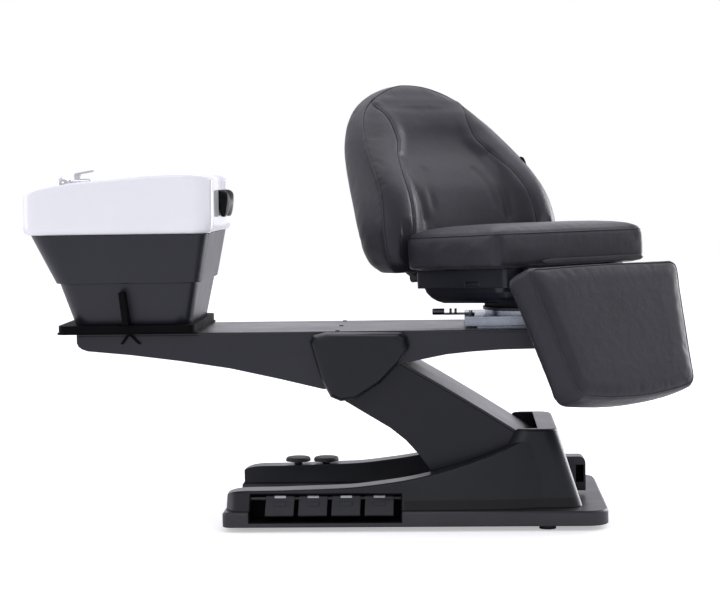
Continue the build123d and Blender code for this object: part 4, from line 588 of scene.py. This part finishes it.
# %% Lines on a surface
def even_steps(path, step, closed=False):
    """Points at equal steps along a path, by linear interpolation over its length."""
    path = np.concatenate([path, path[:1]]) if closed else np.asarray(path)
    run = np.concatenate([[0], np.cumsum(np.linalg.norm(np.diff(path, axis=0), axis=1))])
    count = max(2, int(run[-1] / step))
    at = np.linspace(0, run[-1], count, endpoint=not closed)
    return np.stack([np.interp(at, run, path[:, k]) for k in range(3)], -1)


def smooth_line(path, rounds, closed=False):
    """Each point moves to the mean of itself and its neighbours, a number of times."""
    path = np.array(path, float)
    for _ in range(rounds):
        if closed:
            path = (np.roll(path, 1, 0) + path + np.roll(path, -1, 0)) / 3
        else:
            path[1:-1] = (path[:-2] + path[1:-1] + path[2:]) / 3
    return path


def lay_on(piece, path, lift=0.0):
    """Nearest places on a piece for the points of a path, lifted along the normals there,
    and these normals, each one the mean of nine along the path."""
    surface = BVHTree.FromObject(piece, bpy.context.evaluated_depsgraph_get())
    hits = [surface.find_nearest(Vector(point)) for point in path]
    normals = np.array([tuple(hit[1]) for hit in hits])
    reach = 4
    kernel = np.ones(2 * reach + 1) / (2 * reach + 1)
    padded = np.concatenate([normals[:1].repeat(reach, 0), normals, normals[-1:].repeat(reach, 0)])
    normals = np.stack([np.convolve(padded[:, k], kernel, "valid") for k in range(3)], -1)
    normals /= np.linalg.norm(normals, axis=1, keepdims=True)
    return np.array([tuple(hit[0]) for hit in hits]) + lift * normals, normals


def press(piece, path, depth, width):
    """Presses the surface in along a path: depth * exp(-(distance / width)^2), where the
    distance is to the nearest of the path's points."""
    points = points_of(piece.data)
    near = np.full(len(points), 1e9)
    for part in np.array_split(np.asarray(path), max(1, len(path) // 40)):
        gap = np.linalg.norm(points[:, None, :] - part[None, :, :], axis=2).min(axis=1)
        near = np.minimum(near, gap)
    dent = depth * np.exp(-((near / width) ** 2))
    set_points(piece, points - points_of(piece.data, "normal") * dent[:, None])
    print(piece.name, "pressed by mm", (dent.max() * 1000).round(1))


print("line helpers ready")

# %% [markdown]
# In the groove lies a thin cord of leather, the piping, and beside some seams runs a row
# of stitches. Both stand out from the surface, so they are geometry. A stitch is a short
# rod with six sides, and all stitches of a row are one mesh.

# %% Dressing a piece, piping and stitches
def dress(piece, material, body, replaced=()):
    """Finish and body of a new piece, and hides the solids it stands for."""
    piece.data.materials.clear()
    piece.data.materials.append(material)
    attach(piece, body)
    if replaced:
        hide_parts(*replaced)


def tube(name, path, normals, radius, closed, sides=8):
    """Round cord along a path: circles of the radius in the plane of the surface's
    normal and the direction across the path."""
    ahead = np.roll(path, -1, 0) - np.roll(path, 1, 0) if closed else np.gradient(path, axis=0)
    ahead /= np.linalg.norm(ahead, axis=1, keepdims=True)
    across = np.cross(ahead, normals)
    across /= np.linalg.norm(across, axis=1, keepdims=True)
    up = np.cross(across, ahead)
    angle = np.linspace(0, 2 * np.pi, sides, endpoint=False)[None, :, None]
    circle = np.cos(angle) * up[:, None, :] + np.sin(angle) * across[:, None, :]
    rings = path[:, None, :] + radius * circle
    if not closed:
        return closed_rings(name, rings)
    faces = ring_faces(len(rings) + 1, sides) % (len(path) * sides)
    return face_outwards(make_mesh(name, rings, faces.tolist()))


def piping(name, piece, path, body, radius=0.0019, closed=False, groove=0.0016, spread=0.006):
    """Seam with a leather cord in it: a shallow groove in the piece, the cord half in it."""
    line, _ = lay_on(piece, even_steps(path, 0.006, closed))
    line = smooth_line(line, 6, closed)
    press(piece, line, groove, spread)
    line, normals = lay_on(piece, line, lift=radius * 0.35)
    line = smooth_line(line, 2, closed)
    dress(tube(name, line, normals, radius, closed), leather_edge, body)


def stitches(name, piece, path, body, pitch=0.0075, length=0.0048, radius=0.00045):
    """Row of stitches on the piece: each is four rings of six points, narrow at its ends
    and closed by two flat caps."""
    line, normals = lay_on(piece, even_steps(path, pitch), lift=radius * 0.4)
    ahead = np.gradient(line, axis=0)
    ahead /= np.linalg.norm(ahead, axis=1, keepdims=True)
    across = np.cross(ahead, normals)
    along = np.array([-0.5, -0.32, 0.32, 0.5])[None, :, None, None] * length
    size = np.array([0.35, 1, 1, 0.35])[None, :, None, None] * radius
    angle = np.linspace(0, 2 * np.pi, 6, endpoint=False)[None, None, :, None]
    line, ahead, across, normals = (a[:, None, None, :] for a in (line, ahead, across, normals))
    rings = line + along * ahead + size * (np.cos(angle) * normals + np.sin(angle) * across)
    first_points = 24 * np.arange(len(rings))[:, None, None]
    sides = (ring_faces(4, 6)[None] + first_points).reshape(-1, 4)
    caps = np.array([[5, 4, 3, 2, 1, 0], [18, 19, 20, 21, 22, 23]])
    caps = (caps[None] + first_points).reshape(-1, 6)
    row = face_outwards(make_mesh(name, rings, [*sides.tolist(), *caps.tolist()]))
    dress(row, thread, body)
    print(name, "stitches", len(rings))


print("piping and stitches ready")

# %% [markdown]
# ## Seat cushion
# The seat is a thick box cushion: upright sides, a seam all round near the top, and a
# crowned upper panel, with an upright seam at each corner. A subdivided box would round
# its sides too much. Rounded rectangles stacked from the foot to the crown keep them
# upright. The whole is tilted a little, so that its front is higher.

# %% Seat cushion form
seat_half_u = 202
seat_half_v = 287
seat_middle = 10.0
seat_corner = 27
seat_foot = 706
seat_tilt = np.radians(2.6)
seat_levels = [
    # height, inset
    (703.5, 10), (704.5, 5), (709, 3), (726, 2), (752, 1.5), (776, 2), (789, 4), (796, 8),
    (802, 16), (808, 32), (813, 60), (817, 98), (819, 145),
]


def rounded_ring(half_x, half_y, radius, side=28, corner=20):
    """Rectangle with round corners, counterclockwise from its right side: a straight run
    and a quarter circle, four times. The same counts give matching points on every ring."""
    turns = np.linspace(0, np.pi / 2, corner, endpoint=False)
    run = np.linspace(-1, 1, side, endpoint=False)
    x, y = [], []
    for quarter in range(4):
        a, b = (half_x, half_y) if quarter % 2 == 0 else (half_y, half_x)
        px = np.concatenate([np.full(side, a), a - radius + radius * np.cos(turns)])
        py = np.concatenate([run * (b - radius), b - radius + radius * np.sin(turns)])
        c, s = np.round(np.cos(quarter * np.pi / 2)), np.round(np.sin(quarter * np.pi / 2))
        x.append(c * px - s * py)
        y.append(s * px + c * py)
    return np.concatenate(x), np.concatenate(y)


def seat_tilted(u, v, z):
    """Seat points turned by the tilt about the cushion's foot."""
    rise = z - seat_foot
    return seat_space(
        u * np.cos(seat_tilt) - rise * np.sin(seat_tilt), v,
        seat_foot + u * np.sin(seat_tilt) + rise * np.cos(seat_tilt),
    )


def seat_ring(height, inset):
    """The cushion's outline at a height, moved inwards by the inset."""
    a, b = seat_half_u - inset, seat_half_v - inset
    u, v = rounded_ring(a, b, min(seat_corner, 0.9 * a))
    return seat_tilted(u + seat_middle, v, np.full_like(u, height))


seat_cushion = closed_rings("seat_leather", np.array([seat_ring(*level) for level in seat_levels]))
swell(seat_cushion, 0.006, 4.0, 0.004, share=0.5)

# %% [markdown]
# The seams come after the swelling, because making the mesh even would wipe them out.
# The top seam has piping, and the four upright ones are only pressed in.

# %% Seat seams
seam_height = 798.0
corner_inset = 8.0
piping("seat_seam_top", seat_cushion, seat_ring(seam_height, 1), "seat", closed=True)
for side_u, side_v in ((1, -1), (1, 1), (-1, -1), (-1, 1)):
    height = np.linspace(716, 793, 30)
    corner_u = np.full_like(height, seat_middle + side_u * (seat_half_u - corner_inset))
    corner_v = np.full_like(height, side_v * (seat_half_v - corner_inset))
    line, _ = lay_on(seat_cushion, seat_tilted(corner_u, corner_v, height))
    press(seat_cushion, line, 0.0022, 0.004)
dress(seat_cushion, leather, "seat", ("seat_cushion",))

# %% [markdown]
# ## Backrest
# Seen from the front the backrest is an arch. Two fat bolsters run up its sides and die
# out at the top, and between them lies a sunken panel with an hourglass outline. Such a
# form could be sculpted, but level sections describe it exactly: at each height the
# seams' width and depth are read from smooth curves, and the section goes panel,
# bolster, round side, back. Measured against the square root of the distance to the
# crown, these curves stay smooth over the top.

# %% Backrest measures
crown_z = 1237.0
back_rows = np.array([
    # height, half width, front depth at the outer seam, rear depth
    (1237, 0, -527, -527), (1206, 135, -494, -550), (1179, 180, -483, -548), (1147, 216, -461, -542),
    (1099, 253, -416, -528), (1038, 284, -358, -502), (982, 302, -305, -477), (927, 314, -261, -450),
    (873, 324, -235, -420), (811, 331, -221, -389), (759, 328, -217, -368), (712, 314, -219, -346),
    (682, 284, -232, -318),
], float)
seam_rows = np.array([
    # height, half width and depth of the inner seam, how far the panel lies behind it
    (1237, 0, -527, 0), (1206, 134, -494, -7), (1186, 172, -474, -5), (1172, 173, -461, -2),
    (1149, 158, -436, 2), (1113, 149, -410, 8), (1075, 150, -385, 20), (1028, 180, -342, 32),
    (967, 214, -277, 40), (908, 229, -230, 42), (862, 233, -212, 40), (817, 237, -203, 38),
    (759, 240, -200, 34), (712, 232, -206, 28), (682, 208, -226, 12),
], float)


def through(x, known, values):
    """Smooth curve through known points: a cubic between neighbours whose slope at each
    point is the harmonic mean of the chords beside it, so it never overshoots."""
    known, values = np.asarray(known, float), np.asarray(values, float)
    step = np.diff(known)
    chord = np.diff(values) / step
    slope = np.concatenate([chord[:1], np.zeros(len(chord) - 1), chord[-1:]])
    same = chord[:-1] * chord[1:] > 0
    total = np.where(same, chord[:-1] + chord[1:], 1)
    slope[1:-1] = np.where(same, 2 * chord[:-1] * chord[1:] / total, 0)
    i = np.clip(np.searchsorted(known, x) - 1, 0, len(step) - 1)
    t = (np.clip(x, known[0], known[-1]) - known[i]) / step[i]
    return (
        (1 + 2 * t) * (1 - t) ** 2 * values[i] + t * (1 - t) ** 2 * step[i] * slope[i]
        + t * t * (3 - 2 * t) * values[i + 1] + t * t * (t - 1) * step[i] * slope[i + 1]
    )


def read_off(table, z):
    """The three measures of a table at heights z, read over the root of the distance to
    the crown."""
    root = np.sqrt(np.maximum(crown_z - z, 0))
    known = np.sqrt(crown_z - table[:, 0])
    return [through(root, known, table[:, column]) for column in (1, 2, 3)]


print("measures at 900 mm", np.round(read_off(back_rows, 900.0), 1))

# %% [markdown]
# Half of a section is worked out from the middle outwards and then mirrored.

# %% Backrest form
def ease(t):
    """From 0 to 1 with level ends: 3t^2 - 2t^3, held outside."""
    t = np.clip(t, 0, 1)
    return t * t * (3 - 2 * t)


def back_half(z):
    """Half of each level section. Panel: depth of the seam less the sink, eased over its
    outer third. Bolster: straight to the outer seam plus a sine bulge. Side and back: a
    quarter of a superellipse with exponents near 0.27, almost a rounded corner."""
    wide, front, rear = (values[:, None] for values in read_off(back_rows, z))
    seam_w, seam_u, sink = (values[:, None] for values in read_off(seam_rows, z))
    t = np.linspace(0, 1, 26)[None]
    panel_v = seam_w * t
    panel_u = seam_u - sink * ease((1 - t) / 0.34) - 6 * (sink > 0) * ease(1 - t)
    s = np.linspace(0, 1, 18)[None, 1:]
    gap = np.hypot(wide - seam_w, front - seam_u)
    bulge = np.minimum(0.16 * gap, 15) * np.sin(np.pi * s)
    side_v = seam_w + (wide - seam_w) * s + 0.35 * bulge
    side_u = seam_u + (front - seam_u) * s + 0.94 * bulge
    f = np.linspace(0, np.pi / 2, 40)[None, 1:]
    rear_v = wide * np.cos(f) ** 0.26 + np.minimum(0.03 * wide, 6) * np.sin(2 * f)
    rear_u = front + (rear - front) * np.sin(f) ** 0.28
    return np.concatenate([panel_u, side_u, rear_u], 1), np.concatenate([panel_v, side_v, rear_v], 1)


back_foot = 683
back_top = crown_z - 0.4
share = np.linspace(0, 1, 96)
heights = back_foot + (back_top - back_foot) * (1 - np.cos(np.pi * share)) / 2
half_u, half_v = back_half(heights)
shrink = 1 - 2 / np.maximum(half_v.max(axis=1, keepdims=True), 12)
full_u = np.concatenate([half_u, half_u[:, -2:0:-1]], 1)
full_v = np.concatenate([half_v * shrink, -half_v[:, -2:0:-1] * shrink], 1)
back_form = seat_space(full_u, full_v, np.broadcast_to(heights[:, None], full_u.shape))
back_cushion = closed_rings("back_leather", back_form)
swell(back_cushion, 0.0065, 3.0, 0.003, share=0.3)

# %% [markdown]
# The panel is pulled down at its sides, which leaves a long soft crease beside each
# bolster and a shallower wave nearer the middle. They are pressed in before the seams.

# %% Backrest creases
crease_heights = [838, 900, 960, 1020, 1075]
crease_widths = [172, 166, 158, 140, 112]
for side in (-1, 1):
    z = np.linspace(1075, 838, 60)
    v = side * through(z, crease_heights, crease_widths)
    crease, _ = lay_on(back_cushion, seat_space(-260.0, v, z))
    press(back_cushion, crease, 0.007, 0.016)
    wave, _ = lay_on(back_cushion, seat_space(-270.0, v * 0.72, z - 18))
    press(back_cushion, wave[8:48], 0.0028, 0.013)

# %% [markdown]
# The outer seam runs up one side, over the crown and down the other. The inner seams
# edge the panel, and a row of stitches follows each one on the bolster. All these lines
# come from the same tables as the form.

# %% Backrest seams
def seam_line(side, table, highest):
    """Line up one side at a table's widths and depths, with more points towards the top:
    its heights follow a quarter of a sine."""
    lowest = 700
    z = lowest + (highest - lowest) * np.sin(np.linspace(0, np.pi / 2, 160))
    width, depth, _ = read_off(table, z)
    return seat_space(depth, side * width, z)


near_side = seam_line(-1, back_rows, crown_z - 0.1)
far_side = seam_line(1, back_rows, crown_z - 0.1)[::-1]
piping("back_seam_outer", back_cushion, np.concatenate([near_side, far_side[1:]]), "backrest")
for side, name in ((-1, "near"), (1, "far")):
    inner = seam_line(side, seam_rows, 1196)
    piping(f"back_seam_{name}", back_cushion, inner, "backrest", radius=0.0014, groove=0.003, spread=0.007)
    beside = inner + seat_space(0, side * 5.0, 0) - seat_space(0, 0, 0)
    stitches(f"back_stitch_{name}", back_cushion, beside[10:150], "backrest")

# %% [markdown]
# Low on its front the backrest must not reach into the seat. Points there that lie too
# far forward are moved back to one plane, which the seat hides.

# %% Room for the seat
free_depth = -0.2
free_half_width = 0.285
free_height = 0.84
points = points_of(back_cushion.data)
local_u = (points[:, 0] - swivel[0]) * np.cos(turn) - points[:, 1] * np.sin(turn)
local_v = (points[:, 0] - swivel[0]) * np.sin(turn) + points[:, 1] * np.cos(turn)
behind_seat = (points[:, 2] < free_height) & (np.abs(local_v) < free_half_width)
over = np.where(behind_seat, np.maximum(local_u - free_depth, 0), 0)
points[:, 0] -= over * np.cos(turn)
points[:, 1] += over * np.sin(turn)
set_points(back_cushion, points)
dress(back_cushion, leather, "backrest", ("back_cushion",))
print("points moved back", (over > 0).sum(), "by mm", (over.max() * 1000).round(1))

# %% [markdown]
# ## Legrest
# The legrest is a padded slab that tapers downwards and ends in a shallow arc. Its front
# panel is sewn to a wide band with piping. A tapered box would have straight edges, so
# outlines are stacked through its thickness, each one a rounded rectangle that is then
# narrowed towards its foot and bent.

# %% Legrest
leg_half_length = 195
leg_half_width = 286
leg_corner = 27
leg_taper = 0.22
foot_bow = 22
head_bow = 5
leg_head_u = 325
leg_head_z = 726
lean = np.radians(21)
leg_levels = [
    # depth behind the front face, inset
    (104, 34), (103, 16), (99, 7), (92, 3), (66, 1), (36, 1), (16, 2), (9, 4),
    (5, 9), (3, 20), (1, 46), (0, 90), (0, 140),
]


def legrest_ring(depth, inset):
    """Outline at a depth: a rounded rectangle whose width falls evenly towards its foot,
    whose foot is bent up at its sides and whose head is bent down, both with the square
    of the distance from the middle. Down runs along the slab, depth rearwards."""
    half_length = leg_half_length - inset
    down, v = rounded_ring(half_length, leg_half_width - inset, min(leg_corner, 0.9 * half_length))
    share = (down + leg_half_length) / (2 * leg_half_length)
    arc = (v / leg_half_width) ** 2
    down = down + leg_half_length - foot_bow * arc * share + head_bow * arc * (1 - share)
    return seat_space(
        leg_head_u + down * np.sin(lean) - depth * np.cos(lean), v * (1 - leg_taper * share),
        leg_head_z - down * np.cos(lean) - depth * np.sin(lean),
    )


legrest = closed_rings("legrest_leather", np.array([legrest_ring(*level) for level in leg_levels]))
swell(legrest, 0.006, 3.5, 0.003, share=0.3)
piping("legrest_seam", legrest, legrest_ring(3.0, 5), "legrest", closed=True)
piping("legrest_seam_rear", legrest, legrest_ring(92.0, 3), "legrest", closed=True)
dress(legrest, leather, "legrest", ("legrest_cushion",))

# %% [markdown]
# ## Flap
# Under the front of the seat a folded strip of leather hides the gap to the legrest. It
# is short and stiff, so no cloth is run for it: a flat superellipse is carried along the
# seat's front, with a faint wave.

# %% Flap
def rounded_wave(wave, power):
    """A sine or cosine raised to a power that keeps its sign. A power under 1 fills the
    corners of the oval that it draws."""
    return np.sign(wave) * np.abs(wave) ** power


flap_u = 217
flap_z = 712.6
flap_start = -130
flap_end = 255
flap_half = 192.6
along = np.linspace(flap_start, flap_end, 60)[:, None]
angle = np.linspace(0, 2 * np.pi, 28, endpoint=False)
from_middle = (along - (flap_start + flap_end) / 2) / flap_half
end = np.minimum(1, np.sqrt(np.maximum(1 - from_middle ** 12, 0.02)))
strip_u = flap_u + 2.2 * rounded_wave(np.cos(angle), 0.6) + 0.5 * np.sin(along / 30)
strip_z = flap_z + end * 8.6 * rounded_wave(np.sin(angle), 0.7)
flap = closed_rings("flap_leather", seat_tilted(strip_u, np.broadcast_to(along, strip_u.shape), strip_z))
dress(flap, leather_edge, "seat", ("seat_flap",))

# %% [markdown]
# ## Basin
# The basin is slip cast and glazed: outside a rounded box, inside a bowl, with a wide
# deck for the mixer at the left and a notch for the neck at the right. Cutting a bowl
# out of a box leaves hard edges that a glaze never has. Here matching rings of rounded
# rectangles go up the outside, over a round lip and down into the bowl. The lip's
# height is one curve along the basin, and a circle's arc lowers it to the notch.

# %% Basin outside
basin_left = -1064
basin_right = -532
basin_half = 250
basin_corner = 64
wall_foot = 824
lip = 8


def lip_height(x, y):
    """Rim over the length, less the neck notch: a soft minimum of both heights."""
    share = (x - basin_left) / (basin_right - basin_left)
    rim = 811 + 164 * through(
        share, [0, 0.03, 0.1, 0.27, 0.5, 0.8, 0.93, 1], [0.66, 0.70, 0.775, 0.87, 0.93, 1, 0.985, 0.95],
    )
    inside = np.clip(1 - (y / 100) ** 2, 0, 1)
    notch = 985 - 100 * np.sqrt(inside) + 6 * np.maximum(np.abs(y) - 100, 0)
    low = np.minimum(rim, notch) - 5 * np.log1p(np.exp(-np.abs(rim - notch) / 5))
    return np.where(x > -640, low, rim)


def basin_ring(left, right, half, radius):
    """Plan ring from the left and right ends, the half width and the corner radius."""
    x, y = rounded_ring((right - left) / 2, half, radius, side=72, corner=26)
    return np.stack([x + (left + right) / 2, y], -1)


rings = []


def add_ring(plan, z):
    """One more ring of the basin: a plan and its height, which may vary round it."""
    rings.append(np.column_stack([plan, np.broadcast_to(z, len(plan))]))


for inset, z in ((40, 813), (20, 812), (15, 811.5), (9, 813), (4, 817.5), (1, 824)):
    ends = (basin_left + inset, basin_right - inset)
    add_ring(basin_ring(*ends, basin_half - inset, basin_corner - 0.6 * inset), z)
outside = basin_ring(basin_left, basin_right, basin_half, basin_corner)
height = lip_height(outside[:, 0], outside[:, 1])
for share in (0.12, 0.3, 0.5, 0.7, 0.86, 0.96, 1):
    add_ring(outside, wall_foot + share * (height - lip - wall_foot))
print("rings outside", len(rings), "lip mm", height.min().round(), height.max().round())

# %% [markdown]
# From the outer wall the rings turn over the lip in a quarter circle, cross the deck,
# which is widest at the left, and turn down again into the bowl's mouth.

# %% Basin lip and deck
mouth = basin_ring(-940, -552, 230, 60)
mouth_height = lip_height(mouth[:, 0], mouth[:, 1])
wall = np.linalg.norm(outside - mouth, axis=1)


def between(share):
    """Plan between the outer wall and the mouth, at a share that varies round it."""
    return outside + (mouth - outside) * share[:, None]


for bend in np.radians([15, 30, 45, 60, 75, 90]):
    add_ring(between(lip * (1 - np.cos(bend)) / wall), height - lip * (1 - np.sin(bend)))
for share in (0.25, 0.5, 0.75):
    span = lip / wall + share * (1 - 2 * lip / wall)
    add_ring(between(span), height + (mouth_height - height) * span)
for bend in np.radians([90, 75, 60, 45, 30, 15, 0]):
    add_ring(between(1 - lip * (1 - np.cos(bend)) / wall), mouth_height - lip * (1 - np.sin(bend)))
print("wall mm", wall.min().round(), "to", wall.max().round())

# %% [markdown]
# The bowl falls steeply and then flattens, which a sine does, and its floor narrows to
# a round sink in which the drain sits.

# %% Basin bowl
floor_height = 850
bottom = basin_ring(-880, -620, 150, 70)
for share in np.linspace(0.08, 1, 16):
    fall = np.sin(share * np.pi / 2) ** 1.1
    start = mouth_height - lip
    add_ring(mouth + (bottom - mouth) * share ** 1.25, start + (floor_height - start) * fall)
drain_x = -745
drain_cup = basin_ring(drain_x - 34, drain_x + 34, 34, 34)
for share in (0.15, 0.4, 0.7, 0.9):
    add_ring(bottom + (drain_cup - bottom) * share, floor_height - 1.6 * share)
for radius, z in ((35, 848), (33.5, 847), (33, 845), (32.5, 843.4)):
    add_ring(basin_ring(drain_x - radius, drain_x + radius, radius, radius), z)
basin = closed_rings("basin_glazed", mm * np.array(rings))
dress(basin, glaze, "beam", ("basin",))

# %% [markdown]
# ## Neck rest
# A soft rubber saddle lies in the notch. Half a torus would lack the lip that hangs down
# outside, so a section, a thick roll with that lip, is drawn once and carried round the
# notch's arc. The lip drops further near both ends, so the saddle hangs like two wings.

# %% Neck rest
lip_end = 112
wing_drop = 58
wing_start = 101
arc_middle = 985
section_corners = np.array([
    # x, distance from the arc's middle
    (-560, 99.7), (-560, 88), (-552, 82), (-530, 80), (-512, 82), (-505, 90), (-505.5, 104),
    (-512, lip_end), (-522, lip_end + 3), (-530, lip_end), (-531.6, 106), (-531.6, 99.7),
])
loop = np.concatenate([section_corners, section_corners[:1]])
run = np.concatenate([[0], np.cumsum(np.linalg.norm(np.diff(loop, axis=0), axis=1))])
at = np.linspace(0, run[-1], 84, endpoint=False)
section = np.stack([np.interp(at, run, loop[:, k]) for k in range(2)], -1)
section = smooth_line(section, 3, closed=True)
middle = section.mean(axis=0)
share = np.linspace(-1, 1, 73)[:, None]
angle = np.radians(52) * share
size = np.sqrt(np.maximum(1 - share ** 10, 0.01))
x = middle[0] + (section[:, 0] - middle[0]) * size
radius = middle[1] + (section[:, 1] - middle[1]) * size
drop = wing_drop * np.abs(share) * np.clip((radius - wing_start) / 12, 0, 1)
saddle_rings = np.stack([x, radius * np.sin(angle), arc_middle - radius * np.cos(angle) - drop], -1)
saddle = closed_rings("neck_rest_soft", mm * saddle_rings)
saddle_rubber = finish(
    "saddle_rubber", (0.003, 0.003, 0.004), (0.007, 0.007, 0.008), (0.2, 0.4), patch=60, specular=0.1,
)
relief(saddle_rubber, "grain", 70, 0.0015, 0.7)
dress(saddle, saddle_rubber, "beam", ("neck_rest",))

# %% [markdown]
# ## Pull tab
# A short loop of webbing is sewn into the far side of the backrest's seam. It is so
# small that a flat rounded section carried upwards is enough, and its weave is a noise
# drawn into threads.

# %% Pull tab
share = np.linspace(0, 1, 22)[:, None]
angle = np.linspace(0, 2 * np.pi, 32, endpoint=False)
size = np.sqrt(np.maximum(1 - (2 * share - 1) ** 8, 0.05))
u = -330 - 6 * share + 10 * size * rounded_wave(np.cos(angle), 0.7)
v = 302 - 9 * share + 2.2 * size * np.sin(angle) + 3 * np.sin(np.pi * share)
tab = closed_rings("back_tab_webbing", seat_space(u, v, 984 + 30 * share))
webbing = finish("webbing", (0.006, 0.006, 0.007), (0.014, 0.014, 0.015), (0.6, 0.75), patch=300)
relief(webbing, "grain", 700, 0.0003, 0.6, stretch=(1, 1, 8))
dress(tab, webbing, "backrest", ("back_tab",))

# %% [markdown]
# ## Sizes
# The new surfaces have to stay in the space of the solids that they replace, so the
# whole object's box is printed at the end.

# %% Sizes and the closing line
low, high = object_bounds()
print("visual box", [round(value, 3) for corner in (low, high) for value in corner])
